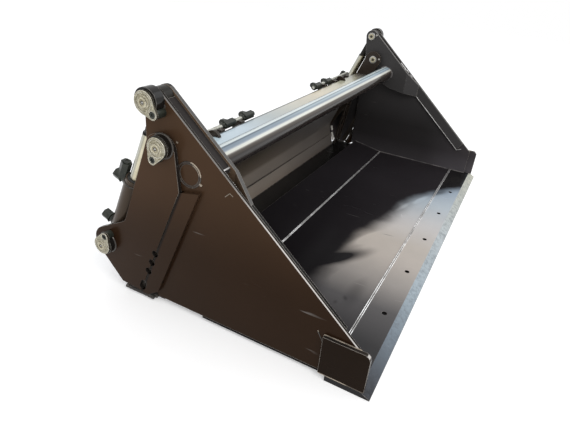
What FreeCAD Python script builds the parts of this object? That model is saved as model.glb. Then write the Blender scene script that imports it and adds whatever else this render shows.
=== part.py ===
import FreeCAD, Part
import math
import os
from FreeCAD import Vector

# Four-in-one bucket for a skid-steer loader, millimetres, +Z up.
# The cutting edge points to -Y, the loader is on +Y, X runs across the bucket.
# Z = 0 is the ground under the cutting edge, X = 0 the middle plane and
# Y = 0 the middle of the bucket's depth.
# Profiles are (y, z) pairs and plates are given by their faces along X.

# Pin centres in the (y, z) plane
HINGE = (189.5, 568.0)
ROD_PIN = (226.5, 685.0)
BASE_PIN = (443.5, 168.0)

# Stations across the bucket, for the +X side
CLAM_HALF = 915.0
SIDE_T = 12.0
ARM_GAP = 36.0
CLAM_INNER = CLAM_HALF - SIDE_T
ARM_OUTER = CLAM_INNER - ARM_GAP
ARM_INNER = ARM_OUTER - SIDE_T
REAR_RUNNING_GAP = 2.5
OUTER_PLATE_IN = CLAM_HALF + REAR_RUNNING_GAP
OUTER_PLATE_OUT = OUTER_PLATE_IN + SIDE_T
INNER_PLATE_GAP = 18.0
INNER_PLATE_OUT = ARM_INNER - INNER_PLATE_GAP
INNER_PLATE_IN = INNER_PLATE_OUT - SIDE_T
CYLINDER_X = (ARM_OUTER + CLAM_INNER) / 2
SEAT_GAP = 0.3

# Ground edges and floor
EDGE_T = 20.0
EDGE_TIP_Y = -498.5
EDGE_BEVEL = 33.0
EDGE_WIDTH = 137.0
EDGE_BACK_Y = EDGE_TIP_Y + EDGE_WIDTH
EDGE_NOSE = 3.0
EDGE_HOLE_D = 18.0
EDGE_HOLE_SET_BACK = 73.0
EDGE_HOLE_Y = EDGE_TIP_Y + EDGE_HOLE_SET_BACK
EDGE_HOLE_PITCH = 286.0
EDGE_HOLES = 5
FLOOR_T = 8.0
FLOOR_BACK_Y = 70.5
LIP_Y = 242.5
LIP_Z = 50.0
LIP_BAR_T = 9.0
LIP_BAR_W = 40.0
BLADE_FRONT_Y = 237.5
BLADE_WIDTH = 147.0
BLADE_HALF = CLAM_INNER - 3.0
BLADE_BEVEL = 16.0

# Clam side plates and arms
SIDE_FRONT_Y = -440.5
SIDE_FRONT_Z = 147.0
SIDE_HEEL = (267.5, 45.0)
SIDE_HEEL_Y = 247.5
APEX_R = 32.0
ARM_HINGE_REACH = 46.0
ARM_BEND_Y = -9.5
ARM_TOE_Y = -79.5
INFILL_SET_IN = 7.0
INFILL_T = 10.0
INFILL_TOE_Y = 12.5
EDGE_BAR_W = 48.0
EDGE_BAR_T = 10.0
CORNER_PLATE_W = 139.0
CORNER_PLATE_H = 132.0
CORNER_PLATE_FRONT_Y = -478.5
CORNER_PLATE_R = 20.0
TUBE_CENTRE = (112.5, 499.0)
TUBE_OD = 76.0
TUBE_WALL = 6.0

# Closing line between the clam's grip strips and the rear plates
CLOSING_TOP = (139.5, 442.0)
CLOSING_LOW = (312.5, 24.0)
CLOSING_GAP = 2.0
STRIP_W = 58.0
STRIP_TOP_Z = 456.0
TOOTH_R = 12.0
TOOTH_PITCH = 42.0
TOOTH_FIRST_Z = 197.0
TEETH = 3
TOOTH_SLOT = 44.0

# Rear body
MOLD_T = 8.0
MOLD_TOP = (270.5, 470.0)
MOLD_BEND = (396.5, 146.0)
MOLD_FOOT_Y = 372.5
MOLD_BEND_R = 45.0
WEAR_STRIP_T = 6.0
WEAR_STRIP_TOP_Z = 86.0
WEB_TOP_Z = 430.0
WEB_FOOT_STEP = 15.0
BEAM_FRONT_Y = 188.5
BEAM_BACK_Y = 274.5
BEAM_TOP_Z = 480.0
BEAM_T = 10.0
BEAM_LIP = 36.0
REAR_TOP_CENTRE = (201.5, 549.0)
REAR_TOP_R = 51.0
REAR_INNER_R = 44.0
REAR_FOOT = (393.5, 30.0)
REAR_WAIST = (357.5, 276.0)
REAR_WAIST_R = 45.0
LOBE_R = 55.0

# Loader attachment plate behind the moldboard
ATTACH_HALF = 572.0
ATTACH_T = 10.0
ATTACH_TOP_Z = 380.0
ATTACH_FOOT_Z = 91.0
ATTACH_LIP_DROP = 66.0
ATTACH_LIP_ANGLE = 35.0
LATCH_SLOT_W = 76.0
LATCH_SLOT_H = 32.0
LATCH_SLOT_X = ATTACH_HALF - 47.0
LATCH_SLOT_UP = 24.0
HOOK_LEG = 50.0
HOOK_T = 12.0
HOOK_RISE = 8.0
HOOK_ANGLE = 40.0
RIB_T = 10.0
RIB_DROP = 36.0
RIB_X = (ATTACH_HALF / 3, ATTACH_HALF * 0.7)
GUSSET_T = 12.0
GUSSET_DOME = (274.5, 472.0)
GUSSET_DOME_R = 29.0

# Pins, flags and bosses
PIN_D = 30.0
PIN_FIT = 0.05
PIN_INNER_X = INNER_PLATE_IN - 3.0
FLAG_T = 8.0
FLAG_R = 31.0
FLAG_TAIL_R = 14.0
FLAG_REACH = 40.0
BOSS_L = 20.0
BOSS_R = 34.0
APEX_BOSS_L = 32.0
APEX_BOSS_R = 38.0
FLAG_BOLT_D = 12.0
FLAG_BOLT_HEAD_D = 18.0
FLAG_BOLT_HEAD_H = 5.0
FLAG_BOLT_FLOOR = 2.0
FLAG_BOLT_SOCKET = 10.0
FLAG_BOLT_SOCKET_DEPTH = 3.0
COUNTERBORE_GAP = 1.0
PIN_PROUD = 4.0
GREASE_HOLE_D = 10.0
ROD_FLAG_ANGLE = 225.0
HINGE_FLAG_ANGLE = 293.0
BASE_FLAG_ANGLE = 113.0
SLEEVE_OD = 48.0
SLEEVE_PROUD = 1.0
WASHER_GAP = 0.5

# Hydraulic cylinders
BARREL_OD = 64.0
BARREL_BORE = 50.0
BARREL_END = 250.0
GLAND_OD = 61.0
GLAND_L = 14.0
GLAND_PILOT = 20.0
BORE_START = 56.0
ROD_D = 40.0
ROD_NECK_D = 26.0
ROD_SHANK_D = 34.0
ROD_SHANK_AT = 436.0
ROD_RUN_GAP = 0.08
PISTON_L = 36.0
PISTON_FROM_BASE = 190.0
EYE_OD = 62.0
EYE_W = 32.0
ROD_BUSH_WALL = 5.0
BASE_EYE_OD = 76.0
BASE_EYE_W = 62.0
BASE_EYE_BORE = 53.0
PORT_HEAD_AT = 234.0
PORT_BASE_AT = 52.0
PORT_BOSS_D = 26.0
PORT_BOSS_L = 12.0
FITTING_HEX = 30.0
FITTING_REACH = 30.0
FITTING_RISE = 60.0

# Hydraulic line along the top of the rear body
LINE_OD = 16.0
LINE_Y = 300.0
LINE_Z = 487.0
LINE_IN_X = ATTACH_HALF / 2
LINE_OUT_X = INNER_PLATE_IN - 55.0
LINE_DROP = 150.0
LINE_BEND_R = 40.0
TEE_X = (LINE_IN_X + 39.0, ATTACH_HALF - 117.0)
TEE_L = 58.0
TEE_HEX = 30.0
TEE_STUB = 26.0
UNION_L = 30.0
CLAMP_X = ((TEE_X[0] + TEE_X[1]) / 2, ATTACH_HALF - 52.0, LINE_OUT_X - 80.0)
CLAMP_W = 22.0

SIDES = (("left", 1), ("right", -1))


def along(start, end, distance):
    """Point at a distance from start towards end, in the (y, z) plane."""
    length = math.dist(start, end)
    share = distance / length
    return (start[0] + (end[0] - start[0]) * share, start[1] + (end[1] - start[1]) * share)


def at_height(start, end, z):
    """Point of the line through start and end at height z."""
    share = (z - start[1]) / (end[1] - start[1])
    return (start[0] + (end[0] - start[0]) * share, z)


def shifted(point, direction, distance):
    """Point moved by a distance along a unit direction."""
    return (point[0] + direction[0] * distance, point[1] + direction[1] * distance)


def unit(start, end):
    """Unit direction from start to end."""
    length = math.dist(start, end)
    return ((end[0] - start[0]) / length, (end[1] - start[1]) / length)


def polar(centre, radius, degrees):
    """Point on a circle in the (y, z) plane, angles from +Y towards +Z."""
    angle = math.radians(degrees)
    return (centre[0] + radius * math.cos(angle), centre[1] + radius * math.sin(angle))


def belt_normal(first, second):
    """Outward normal of the belt's straight run from one circle to the next."""
    (y1, z1), r1 = first
    (y2, z2), r2 = second
    length = math.hypot(y2 - y1, z2 - z1)
    dy = (y2 - y1) / length
    dz = (z2 - z1) / length
    lean = (r1 - r2) / length
    side = math.sqrt(1 - lean * lean)
    return (dz * side + dy * lean, -dy * side + dz * lean)


def belt_wire(circles, x):
    """Closed outline of a belt round circles given anticlockwise as ((y, z), radius)."""
    count = len(circles)
    normals = [belt_normal(circles[i], circles[(i + 1) % count]) for i in range(count)]
    edges = []
    for i, (centre, radius) in enumerate(circles):
        enter = normals[i - 1]
        leave = normals[i]
        begin = shifted(centre, enter, radius)
        end = shifted(centre, leave, radius)
        if radius > 0 and math.dist(begin, end) > 0.01:
            turn = math.atan2(leave[1], leave[0]) - math.atan2(enter[1], enter[0])
            half = math.atan2(enter[1], enter[0]) + (turn % (2 * math.pi)) / 2
            middle = (centre[0] + radius * math.cos(half), centre[1] + radius * math.sin(half))
            arc = Part.Arc(Vector(x, *begin), Vector(x, *middle), Vector(x, *end))
            edges.append(arc.toShape())
        following, next_radius = circles[(i + 1) % count]
        target = shifted(following, leave, next_radius)
        edges.append(Part.makeLine(Vector(x, *end), Vector(x, *target)))
    return Part.Wire(edges)


def belt(circles, x0, x1):
    """Plate with a belt outline between two X faces."""
    face = Part.Face(belt_wire(circles, x0))
    return face.extrude(Vector(x1 - x0, 0, 0))


def plate(points, x0, x1):
    """Plate with a straight-sided (y, z) outline between two X faces."""
    corners = [Vector(x0, y, z) for y, z in points]
    wire = Part.makePolygon(corners + corners[:1])
    return Part.Face(wire).extrude(Vector(x1 - x0, 0, 0))


def rod_x(centre, diameter, x0, x1):
    """Round bar along X."""
    start = Vector(x0, *centre)
    return Part.makeCylinder(diameter / 2, x1 - x0, start, Vector(1, 0, 0))


def ring_x(centre, outer, inner, x0, x1):
    """Round tube along X."""
    return rod_x(centre, outer, x0, x1).cut(rod_x(centre, inner, x0 - 1, x1 + 1))


def hex_bar(across, length, start, direction):
    """Hexagonal bar from a start point along a direction."""
    radius = across / math.sqrt(3)
    points = [Vector(radius * math.cos(math.radians(60 * i)), radius * math.sin(math.radians(60 * i)), 0)
              for i in range(7)]
    bar = Part.Face(Part.makePolygon(points)).extrude(Vector(0, 0, length))
    bar.Placement = FreeCAD.Placement(start, FreeCAD.Rotation(Vector(0, 0, 1), direction))
    return bar


def mirror(shape):
    """Copy of a shape on the other side of the middle plane."""
    return shape.mirror(Vector(0, 0, 0), Vector(1, 0, 0))


def fuse(shapes):
    """One solid made of several that touch or overlap."""
    body = shapes[0]
    for shape in shapes[1:]:
        body = body.fuse(shape)
    return body.removeSplitter()


def on_side(shape, sign):
    """The shape itself for the +X side, or its mirror copy for the -X side."""
    if sign > 0:
        return shape
    return mirror(shape)


def save(name, *shapes):
    """Write the solids of one node."""
    solids = [solid for shape in shapes for solid in shape.Solids]
    Part.Compound(solids).exportStep("parts/" + name + ".step")


# Moldboard lines: the face towards the bowl and the same line set back
MOLD_UP = unit(MOLD_BEND, MOLD_TOP)
MOLD_BACK = (MOLD_UP[1], -MOLD_UP[0])
MOLD_FOOT = (MOLD_FOOT_Y, EDGE_T)
FOOT_DOWN = unit(MOLD_BEND, MOLD_FOOT)
FOOT_BACK = (-FOOT_DOWN[1], FOOT_DOWN[0])


def mold_line(z, back):
    """Point at height z on the moldboard's upper face, set back by a distance."""
    return at_height(shifted(MOLD_TOP, MOLD_BACK, back), shifted(MOLD_BEND, MOLD_BACK, back), z)


def foot_line(z, back):
    """Point at height z on the moldboard's lower face, set back by a distance."""
    return at_height(shifted(MOLD_BEND, FOOT_BACK, back), shifted(MOLD_FOOT, FOOT_BACK, back), z)


def moldboard():
    """Back sheet of the bowl, bent forward above the blade."""
    both = (MOLD_BACK[0] + FOOT_BACK[0], MOLD_BACK[1] + FOOT_BACK[1])
    corner = shifted(MOLD_BEND, both, 2 * MOLD_T / (both[0] ** 2 + both[1] ** 2))
    points = [MOLD_TOP, MOLD_BEND, MOLD_FOOT,
              foot_line(EDGE_T, MOLD_T), corner, mold_line(MOLD_TOP[1], MOLD_T)]
    sheet = plate(points, -INNER_PLATE_IN, INNER_PLATE_IN)
    bends = [edge for edge in sheet.Edges if is_bend(edge, (MOLD_BEND, corner))]
    return sheet.makeFillet(MOLD_BEND_R, bends)


def is_bend(edge, places):
    """True for an edge along X that passes through one of the (y, z) places."""
    ends = [vertex.Point for vertex in edge.Vertexes]
    if len(ends) < 2 or abs(ends[0].x - ends[1].x) < 1:
        return False
    return any(math.dist((ends[0].y, ends[0].z), place) < 0.5 for place in places)


def side_web():
    """Straight web that joins the side plates in front of the cylinder."""
    top = mold_line(WEB_TOP_Z, 0)
    foot = (MOLD_FOOT_Y - WEB_FOOT_STEP, EDGE_T)
    points = [top, foot, (foot[0] + MOLD_T, foot[1]), (top[0] + MOLD_T, top[1])]
    return plate(points, INNER_PLATE_OUT, OUTER_PLATE_IN)


def wear_strip():
    points = [foot_line(EDGE_T, 0), foot_line(WEAR_STRIP_TOP_Z, 0),
              foot_line(WEAR_STRIP_TOP_Z, -WEAR_STRIP_T), foot_line(EDGE_T, -WEAR_STRIP_T)]
    return plate(points, -INNER_PLATE_IN, INNER_PLATE_IN)


def rear_blade():
    back = BLADE_FRONT_Y + BLADE_WIDTH
    points = [(BLADE_FRONT_Y, 0), (back, 0), (back, EDGE_T), (BLADE_FRONT_Y + BLADE_BEVEL, EDGE_T),
              (BLADE_FRONT_Y, EDGE_NOSE)]
    return plate(points, -BLADE_HALF, BLADE_HALF)


def top_beam():
    """Formed channel over the moldboard's top edge with a folded front lip."""
    under = BEAM_TOP_Z - BEAM_T
    points = [(BEAM_FRONT_Y, BEAM_TOP_Z), (BEAM_FRONT_Y, BEAM_TOP_Z - BEAM_LIP),
              (BEAM_FRONT_Y + BEAM_T, BEAM_TOP_Z - BEAM_LIP), (BEAM_FRONT_Y + BEAM_T, under),
              (BEAM_BACK_Y, under), (BEAM_BACK_Y, BEAM_TOP_Z)]
    beam = plate(points, -INNER_PLATE_IN, INNER_PLATE_IN)
    bends = [edge for edge in beam.Edges if is_bend(edge, points[:1])]
    return beam.makeFillet(BEAM_T, bends)


def tooth_place(index):
    """Centre of a tooth hole on the closing line."""
    first = at_height(CLOSING_TOP, CLOSING_LOW, TOOTH_FIRST_Z)
    return along(first, CLOSING_LOW, index * TOOTH_PITCH)


def closing_cuts():
    """Round holes and one slot that the closing line splits into two rows of teeth."""
    x0 = CLAM_HALF - 1
    x1 = OUTER_PLATE_OUT + 1
    cuts = [rod_x(tooth_place(i), 2 * TOOTH_R, x0, x1) for i in range(TEETH)]
    low = tooth_place(TEETH + 1)
    high = along(low, tooth_place(TEETH), TOOTH_SLOT - 2 * TOOTH_R)
    cuts.append(belt([(low, TOOTH_R), (high, TOOTH_R)], x0, x1))
    return cuts


def rear_profile(front, x0, x1):
    """Rear side plate: web behind a front outline, with the cylinder's base lobe."""
    web = belt(front + [(REAR_FOOT, 0), (REAR_WAIST, 0)], x0, x1)
    lobe = belt([(REAR_FOOT, 0), (BASE_PIN, LOBE_R), (REAR_WAIST, 0)], x0, x1)
    profile = fuse([web, lobe])
    waist = [edge for edge in profile.Edges if is_bend(edge, (REAR_WAIST,))]
    return profile.makeFillet(REAR_WAIST_R, waist)


def pin_holes(centres, x0, x1):
    """Tools that bore pin holes through plates between two X faces."""
    return [rod_x(centre, PIN_D, x0 - 1, x1 + 1) for centre in centres]


def rear_outer_plate():
    front = [(REAR_TOP_CENTRE, REAR_TOP_R), (CLOSING_TOP, 0), (CLOSING_LOW, 0)]
    shape = rear_profile(front, OUTER_PLATE_IN, OUTER_PLATE_OUT)
    holes = pin_holes((HINGE, BASE_PIN), OUTER_PLATE_IN, OUTER_PLATE_OUT)
    return shape.cut(closing_cuts() + holes)


def rear_inner_plate():
    """Inner side plate with its front edge running from the hinge to the moldboard's bend."""
    x0 = INNER_PLATE_IN
    x1 = INNER_PLATE_OUT
    merge = foot_line(MOLD_BEND[1] - BEAM_T, 0)
    foot = foot_line(EDGE_T, 0)
    ear = belt([(HINGE, REAR_INNER_R), (merge, 0), (REAR_WAIST, 0)], x0, x1)
    base = belt([(foot, 0), (REAR_FOOT, 0), (BASE_PIN, LOBE_R), (merge, 0)], x0, x1)
    shoulder = belt([(merge, 0), (BASE_PIN, LOBE_R), (REAR_WAIST, 0)], x0, x1)
    return fuse([ear, base, shoulder]).cut(pin_holes((HINGE, BASE_PIN), x0, x1))


def clam_outline(x0, x1):
    """Clam side plate from the ground edge to the apex round the rod pin."""
    foot = (SIDE_FRONT_Y, EDGE_T)
    heel = (SIDE_HEEL_Y, EDGE_T)
    return belt([(foot, 0), (heel, 0), (SIDE_HEEL, 0), (ROD_PIN, APEX_R), (FRONT_FOOT, 0)], x0, x1)


def clam_side():
    shape = clam_outline(CLAM_INNER, CLAM_HALF)
    holes = pin_holes((ROD_PIN,), CLAM_INNER, CLAM_HALF)
    holes.append(rod_x(HINGE, SLEEVE_OD, CLAM_INNER - 1, CLAM_HALF + 1))
    holes.append(rod_x(TUBE_CENTRE, TUBE_OD, CLAM_INNER - 1, CLAM_HALF + 1))
    return shape.cut(holes)


# The side plate's sloping front edge, from its foot to where it meets the apex round
FRONT_FOOT = (SIDE_FRONT_Y, SIDE_FRONT_Z)
FRONT_TOP = shifted(ROD_PIN, belt_normal((ROD_PIN, APEX_R), (FRONT_FOOT, 0)), APEX_R)
FRONT_UP = unit(FRONT_FOOT, FRONT_TOP)
FRONT_IN = (FRONT_UP[1], -FRONT_UP[0])


def front_edge(y, inward):
    """Point on the clam's sloping front edge at a given y, set in from the edge."""
    start = shifted(FRONT_FOOT, FRONT_IN, inward)
    return (y, start[1] + (y - start[0]) * FRONT_UP[1] / FRONT_UP[0])


def arm_strip(x0, x1):
    """Bent strip seen from above that the inner arm plate is cut from."""
    toe_in = CLAM_INNER - SIDE_T
    points = [(x0, SIDE_HEEL[0]), (x0, ARM_BEND_Y), (toe_in, ARM_TOE_Y), (CLAM_INNER, ARM_TOE_Y),
              (x1, ARM_BEND_Y + SIDE_T / 2), (x1, SIDE_HEEL[0])]
    corners = [Vector(x, y, 0) for x, y in points]
    wire = Part.makePolygon(corners + corners[:1])
    return Part.Face(wire).extrude(Vector(0, 0, 2 * ROD_PIN[1]))


def arm_inner_plate():
    """Inner plate of the arm, bent outwards at its toe to meet the side plate."""
    toe_top = front_edge(ARM_TOE_Y, 0)
    toe_low = front_edge(ARM_TOE_Y, EDGE_BAR_W)
    under = (TUBE_CENTRE[0] - TUBE_OD / 2, TUBE_CENTRE[1] - TUBE_OD)
    back = (HINGE[0] + ARM_HINGE_REACH, HINGE[1] - TUBE_OD)
    outline = belt([(toe_low, 0), (under, 0), (back, 0), (ROD_PIN, APEX_R), (toe_top, 0)],
                   ARM_INNER, CLAM_INNER)
    shape = outline.common(arm_strip(ARM_INNER, ARM_OUTER))
    holes = pin_holes((ROD_PIN,), ARM_INNER, ARM_OUTER)
    holes.append(rod_x(HINGE, SLEEVE_OD, ARM_INNER - 1, ARM_OUTER + 1))
    holes.append(rod_x(TUBE_CENTRE, TUBE_OD, ARM_INNER - 1, CLAM_INNER + 1))
    return shape.cut(holes)


def arm_infill():
    """Flat bar that closes the arm box behind its front edge."""
    top_y = ROD_PIN[0] - APEX_R
    points = [front_edge(INFILL_TOE_Y, INFILL_SET_IN), front_edge(INFILL_TOE_Y, INFILL_SET_IN + INFILL_T),
              front_edge(top_y, INFILL_SET_IN + INFILL_T), front_edge(top_y, INFILL_SET_IN)]
    return plate(points, ARM_OUTER, CLAM_INNER)


def edge_bar():
    """Flat bar on the bowl face of the side plate, along its front edge."""
    low = SIDE_FRONT_Y + EDGE_BAR_W
    points = [front_edge(low, 0), front_edge(low + EDGE_BAR_W / 2, EDGE_BAR_W),
              front_edge(ARM_TOE_Y, EDGE_BAR_W), front_edge(ARM_TOE_Y, 0)]
    return plate(points, CLAM_INNER - EDGE_BAR_T, CLAM_INNER)


def cross_tube():
    return ring_x(TUBE_CENTRE, TUBE_OD, TUBE_OD - 2 * TUBE_WALL, -CLAM_HALF, CLAM_HALF)


def tube_caps():
    """Round discs that close the tube's ends inside its bore."""
    bore = TUBE_OD - 2 * TUBE_WALL
    cap = rod_x(TUBE_CENTRE, bore, CLAM_HALF - SIDE_T, CLAM_HALF)
    return [cap, mirror(cap)]


def floor_plate():
    points = [(EDGE_BACK_Y, EDGE_T - FLOOR_T), (FLOOR_BACK_Y, EDGE_T - FLOOR_T),
              (FLOOR_BACK_Y, EDGE_T), (EDGE_BACK_Y, EDGE_T)]
    return plate(points, -CLAM_HALF, CLAM_HALF)


def floor_panel():
    """Panel that climbs from the floor to the clam's rear lip."""
    points = [(FLOOR_BACK_Y, EDGE_T - FLOOR_T), (LIP_Y, LIP_Z - FLOOR_T),
              (LIP_Y, LIP_Z), (FLOOR_BACK_Y, EDGE_T)]
    return plate(points, -CLAM_INNER, CLAM_INNER)


def lip_bar():
    """Flat bar under the rear lip that meets the rear blade's edge."""
    low = at_height((FLOOR_BACK_Y, EDGE_T - FLOOR_T), (LIP_Y, LIP_Z - FLOOR_T), LIP_Z - FLOOR_T)
    start = along(low, (FLOOR_BACK_Y, EDGE_T - FLOOR_T), LIP_BAR_W)
    points = [low, start, (start[0], start[1] - LIP_BAR_T), (low[0], low[1] - LIP_BAR_T)]
    return plate(points, -CLAM_INNER, CLAM_INNER)


def cutting_edge():
    """Bevelled edge bar with its row of bolt holes."""
    half = CLAM_HALF + SIDE_T
    points = [(EDGE_TIP_Y, 0), (EDGE_BACK_Y, 0), (EDGE_BACK_Y, EDGE_T),
              (EDGE_TIP_Y + EDGE_BEVEL, EDGE_T), (EDGE_TIP_Y, EDGE_NOSE)]
    bar = plate(points, -half, half)
    first = -EDGE_HOLE_PITCH * (EDGE_HOLES - 1) / 2
    places = [Vector(first + i * EDGE_HOLE_PITCH, EDGE_HOLE_Y, -1) for i in range(EDGE_HOLES)]
    holes = [Part.makeCylinder(EDGE_HOLE_D / 2, EDGE_T + 2, place) for place in places]
    return bar.cut(holes)


def corner_plate():
    """Doubler on the outer face of the side plate above the edge bar's end."""
    back = CORNER_PLATE_FRONT_Y + CORNER_PLATE_W
    top = EDGE_T + CORNER_PLATE_H
    nose = (CORNER_PLATE_FRONT_Y + CORNER_PLATE_R, top - CORNER_PLATE_R)
    circles = [((CORNER_PLATE_FRONT_Y, EDGE_T), 0), ((back, EDGE_T), 0), ((back, top), 0),
               (nose, CORNER_PLATE_R)]
    return belt(circles, CLAM_HALF, CLAM_HALF + SIDE_T)


def strip_line(z, inward):
    """Point at height z on a line set forward of the closing line."""
    down = unit(CLOSING_TOP, CLOSING_LOW)
    forward = (down[1], -down[0])
    return at_height(shifted(CLOSING_TOP, forward, inward), shifted(CLOSING_LOW, forward, inward), z)


def grip_strip():
    """Strip on the clam whose teeth meet those of the rear plate."""
    heel = strip_line(EDGE_T, CLOSING_GAP)
    toe = (heel[0] - STRIP_W / 2, EDGE_T)
    circles = [(strip_line(STRIP_TOP_Z, STRIP_W), 0), (strip_line(EDGE_T + STRIP_W / 2, STRIP_W), 0),
               (toe, 0), (heel, 0), (strip_line(CLOSING_TOP[1], CLOSING_GAP), 0)]
    strip = belt(circles, CLAM_HALF, OUTER_PLATE_OUT)
    tube_end = rod_x(TUBE_CENTRE, TUBE_OD + SIDE_T, CLAM_HALF - 1, OUTER_PLATE_OUT + 1)
    return strip.cut(closing_cuts() + [tube_end])


def apex_boss():
    return ring_x(ROD_PIN, 2 * APEX_BOSS_R, PIN_D, CLAM_HALF, CLAM_HALF + APEX_BOSS_L)


def hinge_sleeve():
    """Bushed sleeve through both clam plates that turns on the hinge pin."""
    end = CLAM_HALF + REAR_RUNNING_GAP - WASHER_GAP
    return ring_x(HINGE, SLEEVE_OD, PIN_D + 2 * PIN_FIT, ARM_INNER - SLEEVE_PROUD, end)


def hinge_washer():
    """Thrust ring on the hinge pin between the arm and the inner plate."""
    return ring_x(HINGE, SLEEVE_OD, PIN_D, INNER_PLATE_OUT, ARM_INNER - SLEEVE_PROUD - WASHER_GAP)


def base_spacer():
    """Spacer ring on the base pin between the inner plate and the cylinder's eye."""
    return ring_x(BASE_PIN, SLEEVE_OD, PIN_D, INNER_PLATE_OUT, CYLINDER_X - BARREL_OD / 2 - WASHER_GAP)


def boss(centre):
    return ring_x(centre, 2 * BOSS_R, PIN_D, OUTER_PLATE_OUT, OUTER_PLATE_OUT + BOSS_L)


def flag_pin(centre, angle, boss_end, inner_end):
    """Pin with its end welded through a teardrop flag plate that has a counterbored bolt hole."""
    face = boss_end + FLAG_T
    tail = polar(centre, FLAG_REACH, angle)
    flag = belt([(centre, FLAG_R), (tail, FLAG_TAIL_R)], boss_end, face)
    shaft = rod_x(centre, PIN_D, inner_end, face + PIN_PROUD)
    hole = rod_x(tail, FLAG_BOLT_D, boss_end - 1, face + 1)
    counterbore = rod_x(tail, FLAG_BOLT_HEAD_D + 2 * COUNTERBORE_GAP, boss_end + FLAG_BOLT_FLOOR, face + 1)
    grease = rod_x(centre, GREASE_HOLE_D, face - FLAG_T / 2, face + PIN_PROUD + 1)
    return fuse([flag, shaft]).cut([hole, counterbore, grease])


def flag_bolt(centre, angle, boss_start, boss_end, boss_radius):
    """Socket-head bolt sunk into a flag, with the lug it screws into."""
    tail = polar(centre, FLAG_REACH, angle)
    head_x = boss_end + FLAG_BOLT_FLOOR
    head_end = head_x + FLAG_BOLT_HEAD_H
    shank = rod_x(tail, FLAG_BOLT_D, boss_end, head_x)
    head = rod_x(tail, FLAG_BOLT_HEAD_D, head_x, head_end)
    socket = hex_bar(FLAG_BOLT_SOCKET, FLAG_BOLT_HEAD_H, Vector(head_end - FLAG_BOLT_SOCKET_DEPTH, *tail),
                     Vector(1, 0, 0))
    lug = rod_x(tail, 2 * FLAG_TAIL_R, boss_start, boss_end)
    boss_space = rod_x(centre, 2 * (boss_radius + SEAT_GAP), boss_start - 1, boss_end)
    return fuse([shank, head, lug.cut(boss_space)]).cut(socket)


# Cylinder axis in the closed position
AXIS_UP = unit(BASE_PIN, ROD_PIN)
AXIS_BACK = (AXIS_UP[1], -AXIS_UP[0])


def on_axis(distance, back=0.0):
    """Point on the cylinder's axis, measured from the base pin, and set back from it."""
    y, z = shifted(shifted(BASE_PIN, AXIS_UP, distance), AXIS_BACK, back)
    return Vector(CYLINDER_X, y, z)


def round_bar(diameter, start, end):
    """Round bar along the cylinder's axis between two distances from the base pin."""
    direction = Vector(0, *AXIS_UP)
    return Part.makeCylinder(diameter / 2, end - start, on_axis(start), direction)


def barrel():
    """Cylinder tube with its closed end and the base eye."""
    half = BASE_EYE_W / 2
    eye = rod_x(BASE_PIN, BASE_EYE_OD, CYLINDER_X - half, CYLINDER_X + half)
    body = fuse([round_bar(BARREL_OD, 0, BARREL_END), eye])
    hole = rod_x(BASE_PIN, BASE_EYE_BORE, CYLINDER_X - half - 1, CYLINDER_X + half + 1)
    clear_eye = round_bar(BARREL_BORE, BORE_START, BARREL_END + 1)
    return body.cut([hole, clear_eye])


def gland():
    """Screwed-in gland that guides the rod."""
    collar = round_bar(GLAND_OD, BARREL_END, BARREL_END + GLAND_L)
    pilot = round_bar(BARREL_BORE, BARREL_END - GLAND_PILOT, BARREL_END)
    bore = round_bar(ROD_D + 2 * ROD_RUN_GAP, BARREL_END - GLAND_PILOT - 1, BARREL_END + GLAND_L + 1)
    return fuse([collar, pilot]).cut(bore)


def piston():
    """Piston on the rod's lower end, near the gland when the clam is closed."""
    body = round_bar(BARREL_BORE - 2 * ROD_RUN_GAP, PISTON_FROM_BASE, PISTON_FROM_BASE + PISTON_L)
    return body.cut(round_bar(ROD_NECK_D, PISTON_FROM_BASE - 1, PISTON_FROM_BASE + PISTON_L + 1))


def piston_rod():
    """Rod with its welded eye round the rod pin's bush."""
    reach = math.dist(BASE_PIN, ROD_PIN)
    neck = round_bar(ROD_NECK_D, PISTON_FROM_BASE - ROD_NECK_D / 2, PISTON_FROM_BASE + PISTON_L)
    shaft = round_bar(ROD_D, PISTON_FROM_BASE + PISTON_L, ROD_SHANK_AT)
    shank = round_bar(ROD_SHANK_D, ROD_SHANK_AT, reach - EYE_OD / 4)
    eye = rod_x(ROD_PIN, EYE_OD, CYLINDER_X - EYE_W / 2, CYLINDER_X + EYE_W / 2)
    bore = rod_x(ROD_PIN, PIN_D + 2 * ROD_BUSH_WALL, ARM_OUTER, CLAM_INNER)
    return fuse([neck, shaft, shank, eye]).cut(bore)


def rod_bush():
    outer = PIN_D + 2 * ROD_BUSH_WALL
    return ring_x(ROD_PIN, outer, PIN_D + 2 * PIN_FIT, CYLINDER_X - EYE_W / 2, CYLINDER_X + EYE_W / 2)


def cylinder_fittings():
    """Port bosses on the tube's rear face with a capped tee and a capped union."""
    back = Vector(0, *AXIS_BACK)
    up = Vector(0, *AXIS_UP)
    root = math.sqrt((BARREL_OD / 2) ** 2 - (PORT_BOSS_D / 2) ** 2)
    tube = round_bar(BARREL_OD, 0, BARREL_END)
    length = BARREL_OD / 2 - root + PORT_BOSS_L
    shapes = []
    for at in (PORT_HEAD_AT, PORT_BASE_AT):
        port = Part.makeCylinder(PORT_BOSS_D / 2, length, on_axis(at, root), back).cut(tube)
        union = hex_bar(FITTING_HEX, FITTING_REACH, on_axis(at, root + length), back)
        shapes.append(fuse([port, union]))
    branch_back = GLAND_OD / 2 + FITTING_HEX / math.sqrt(3) + SEAT_GAP
    branch = hex_bar(FITTING_HEX, FITTING_RISE, on_axis(PORT_HEAD_AT, branch_back), up)
    shapes[0] = fuse([shapes[0], branch])
    return shapes


def attach_line(z, extra):
    """Point on the attachment plate's front face at height z, set back by an extra distance."""
    return mold_line(z, MOLD_T + extra)


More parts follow.
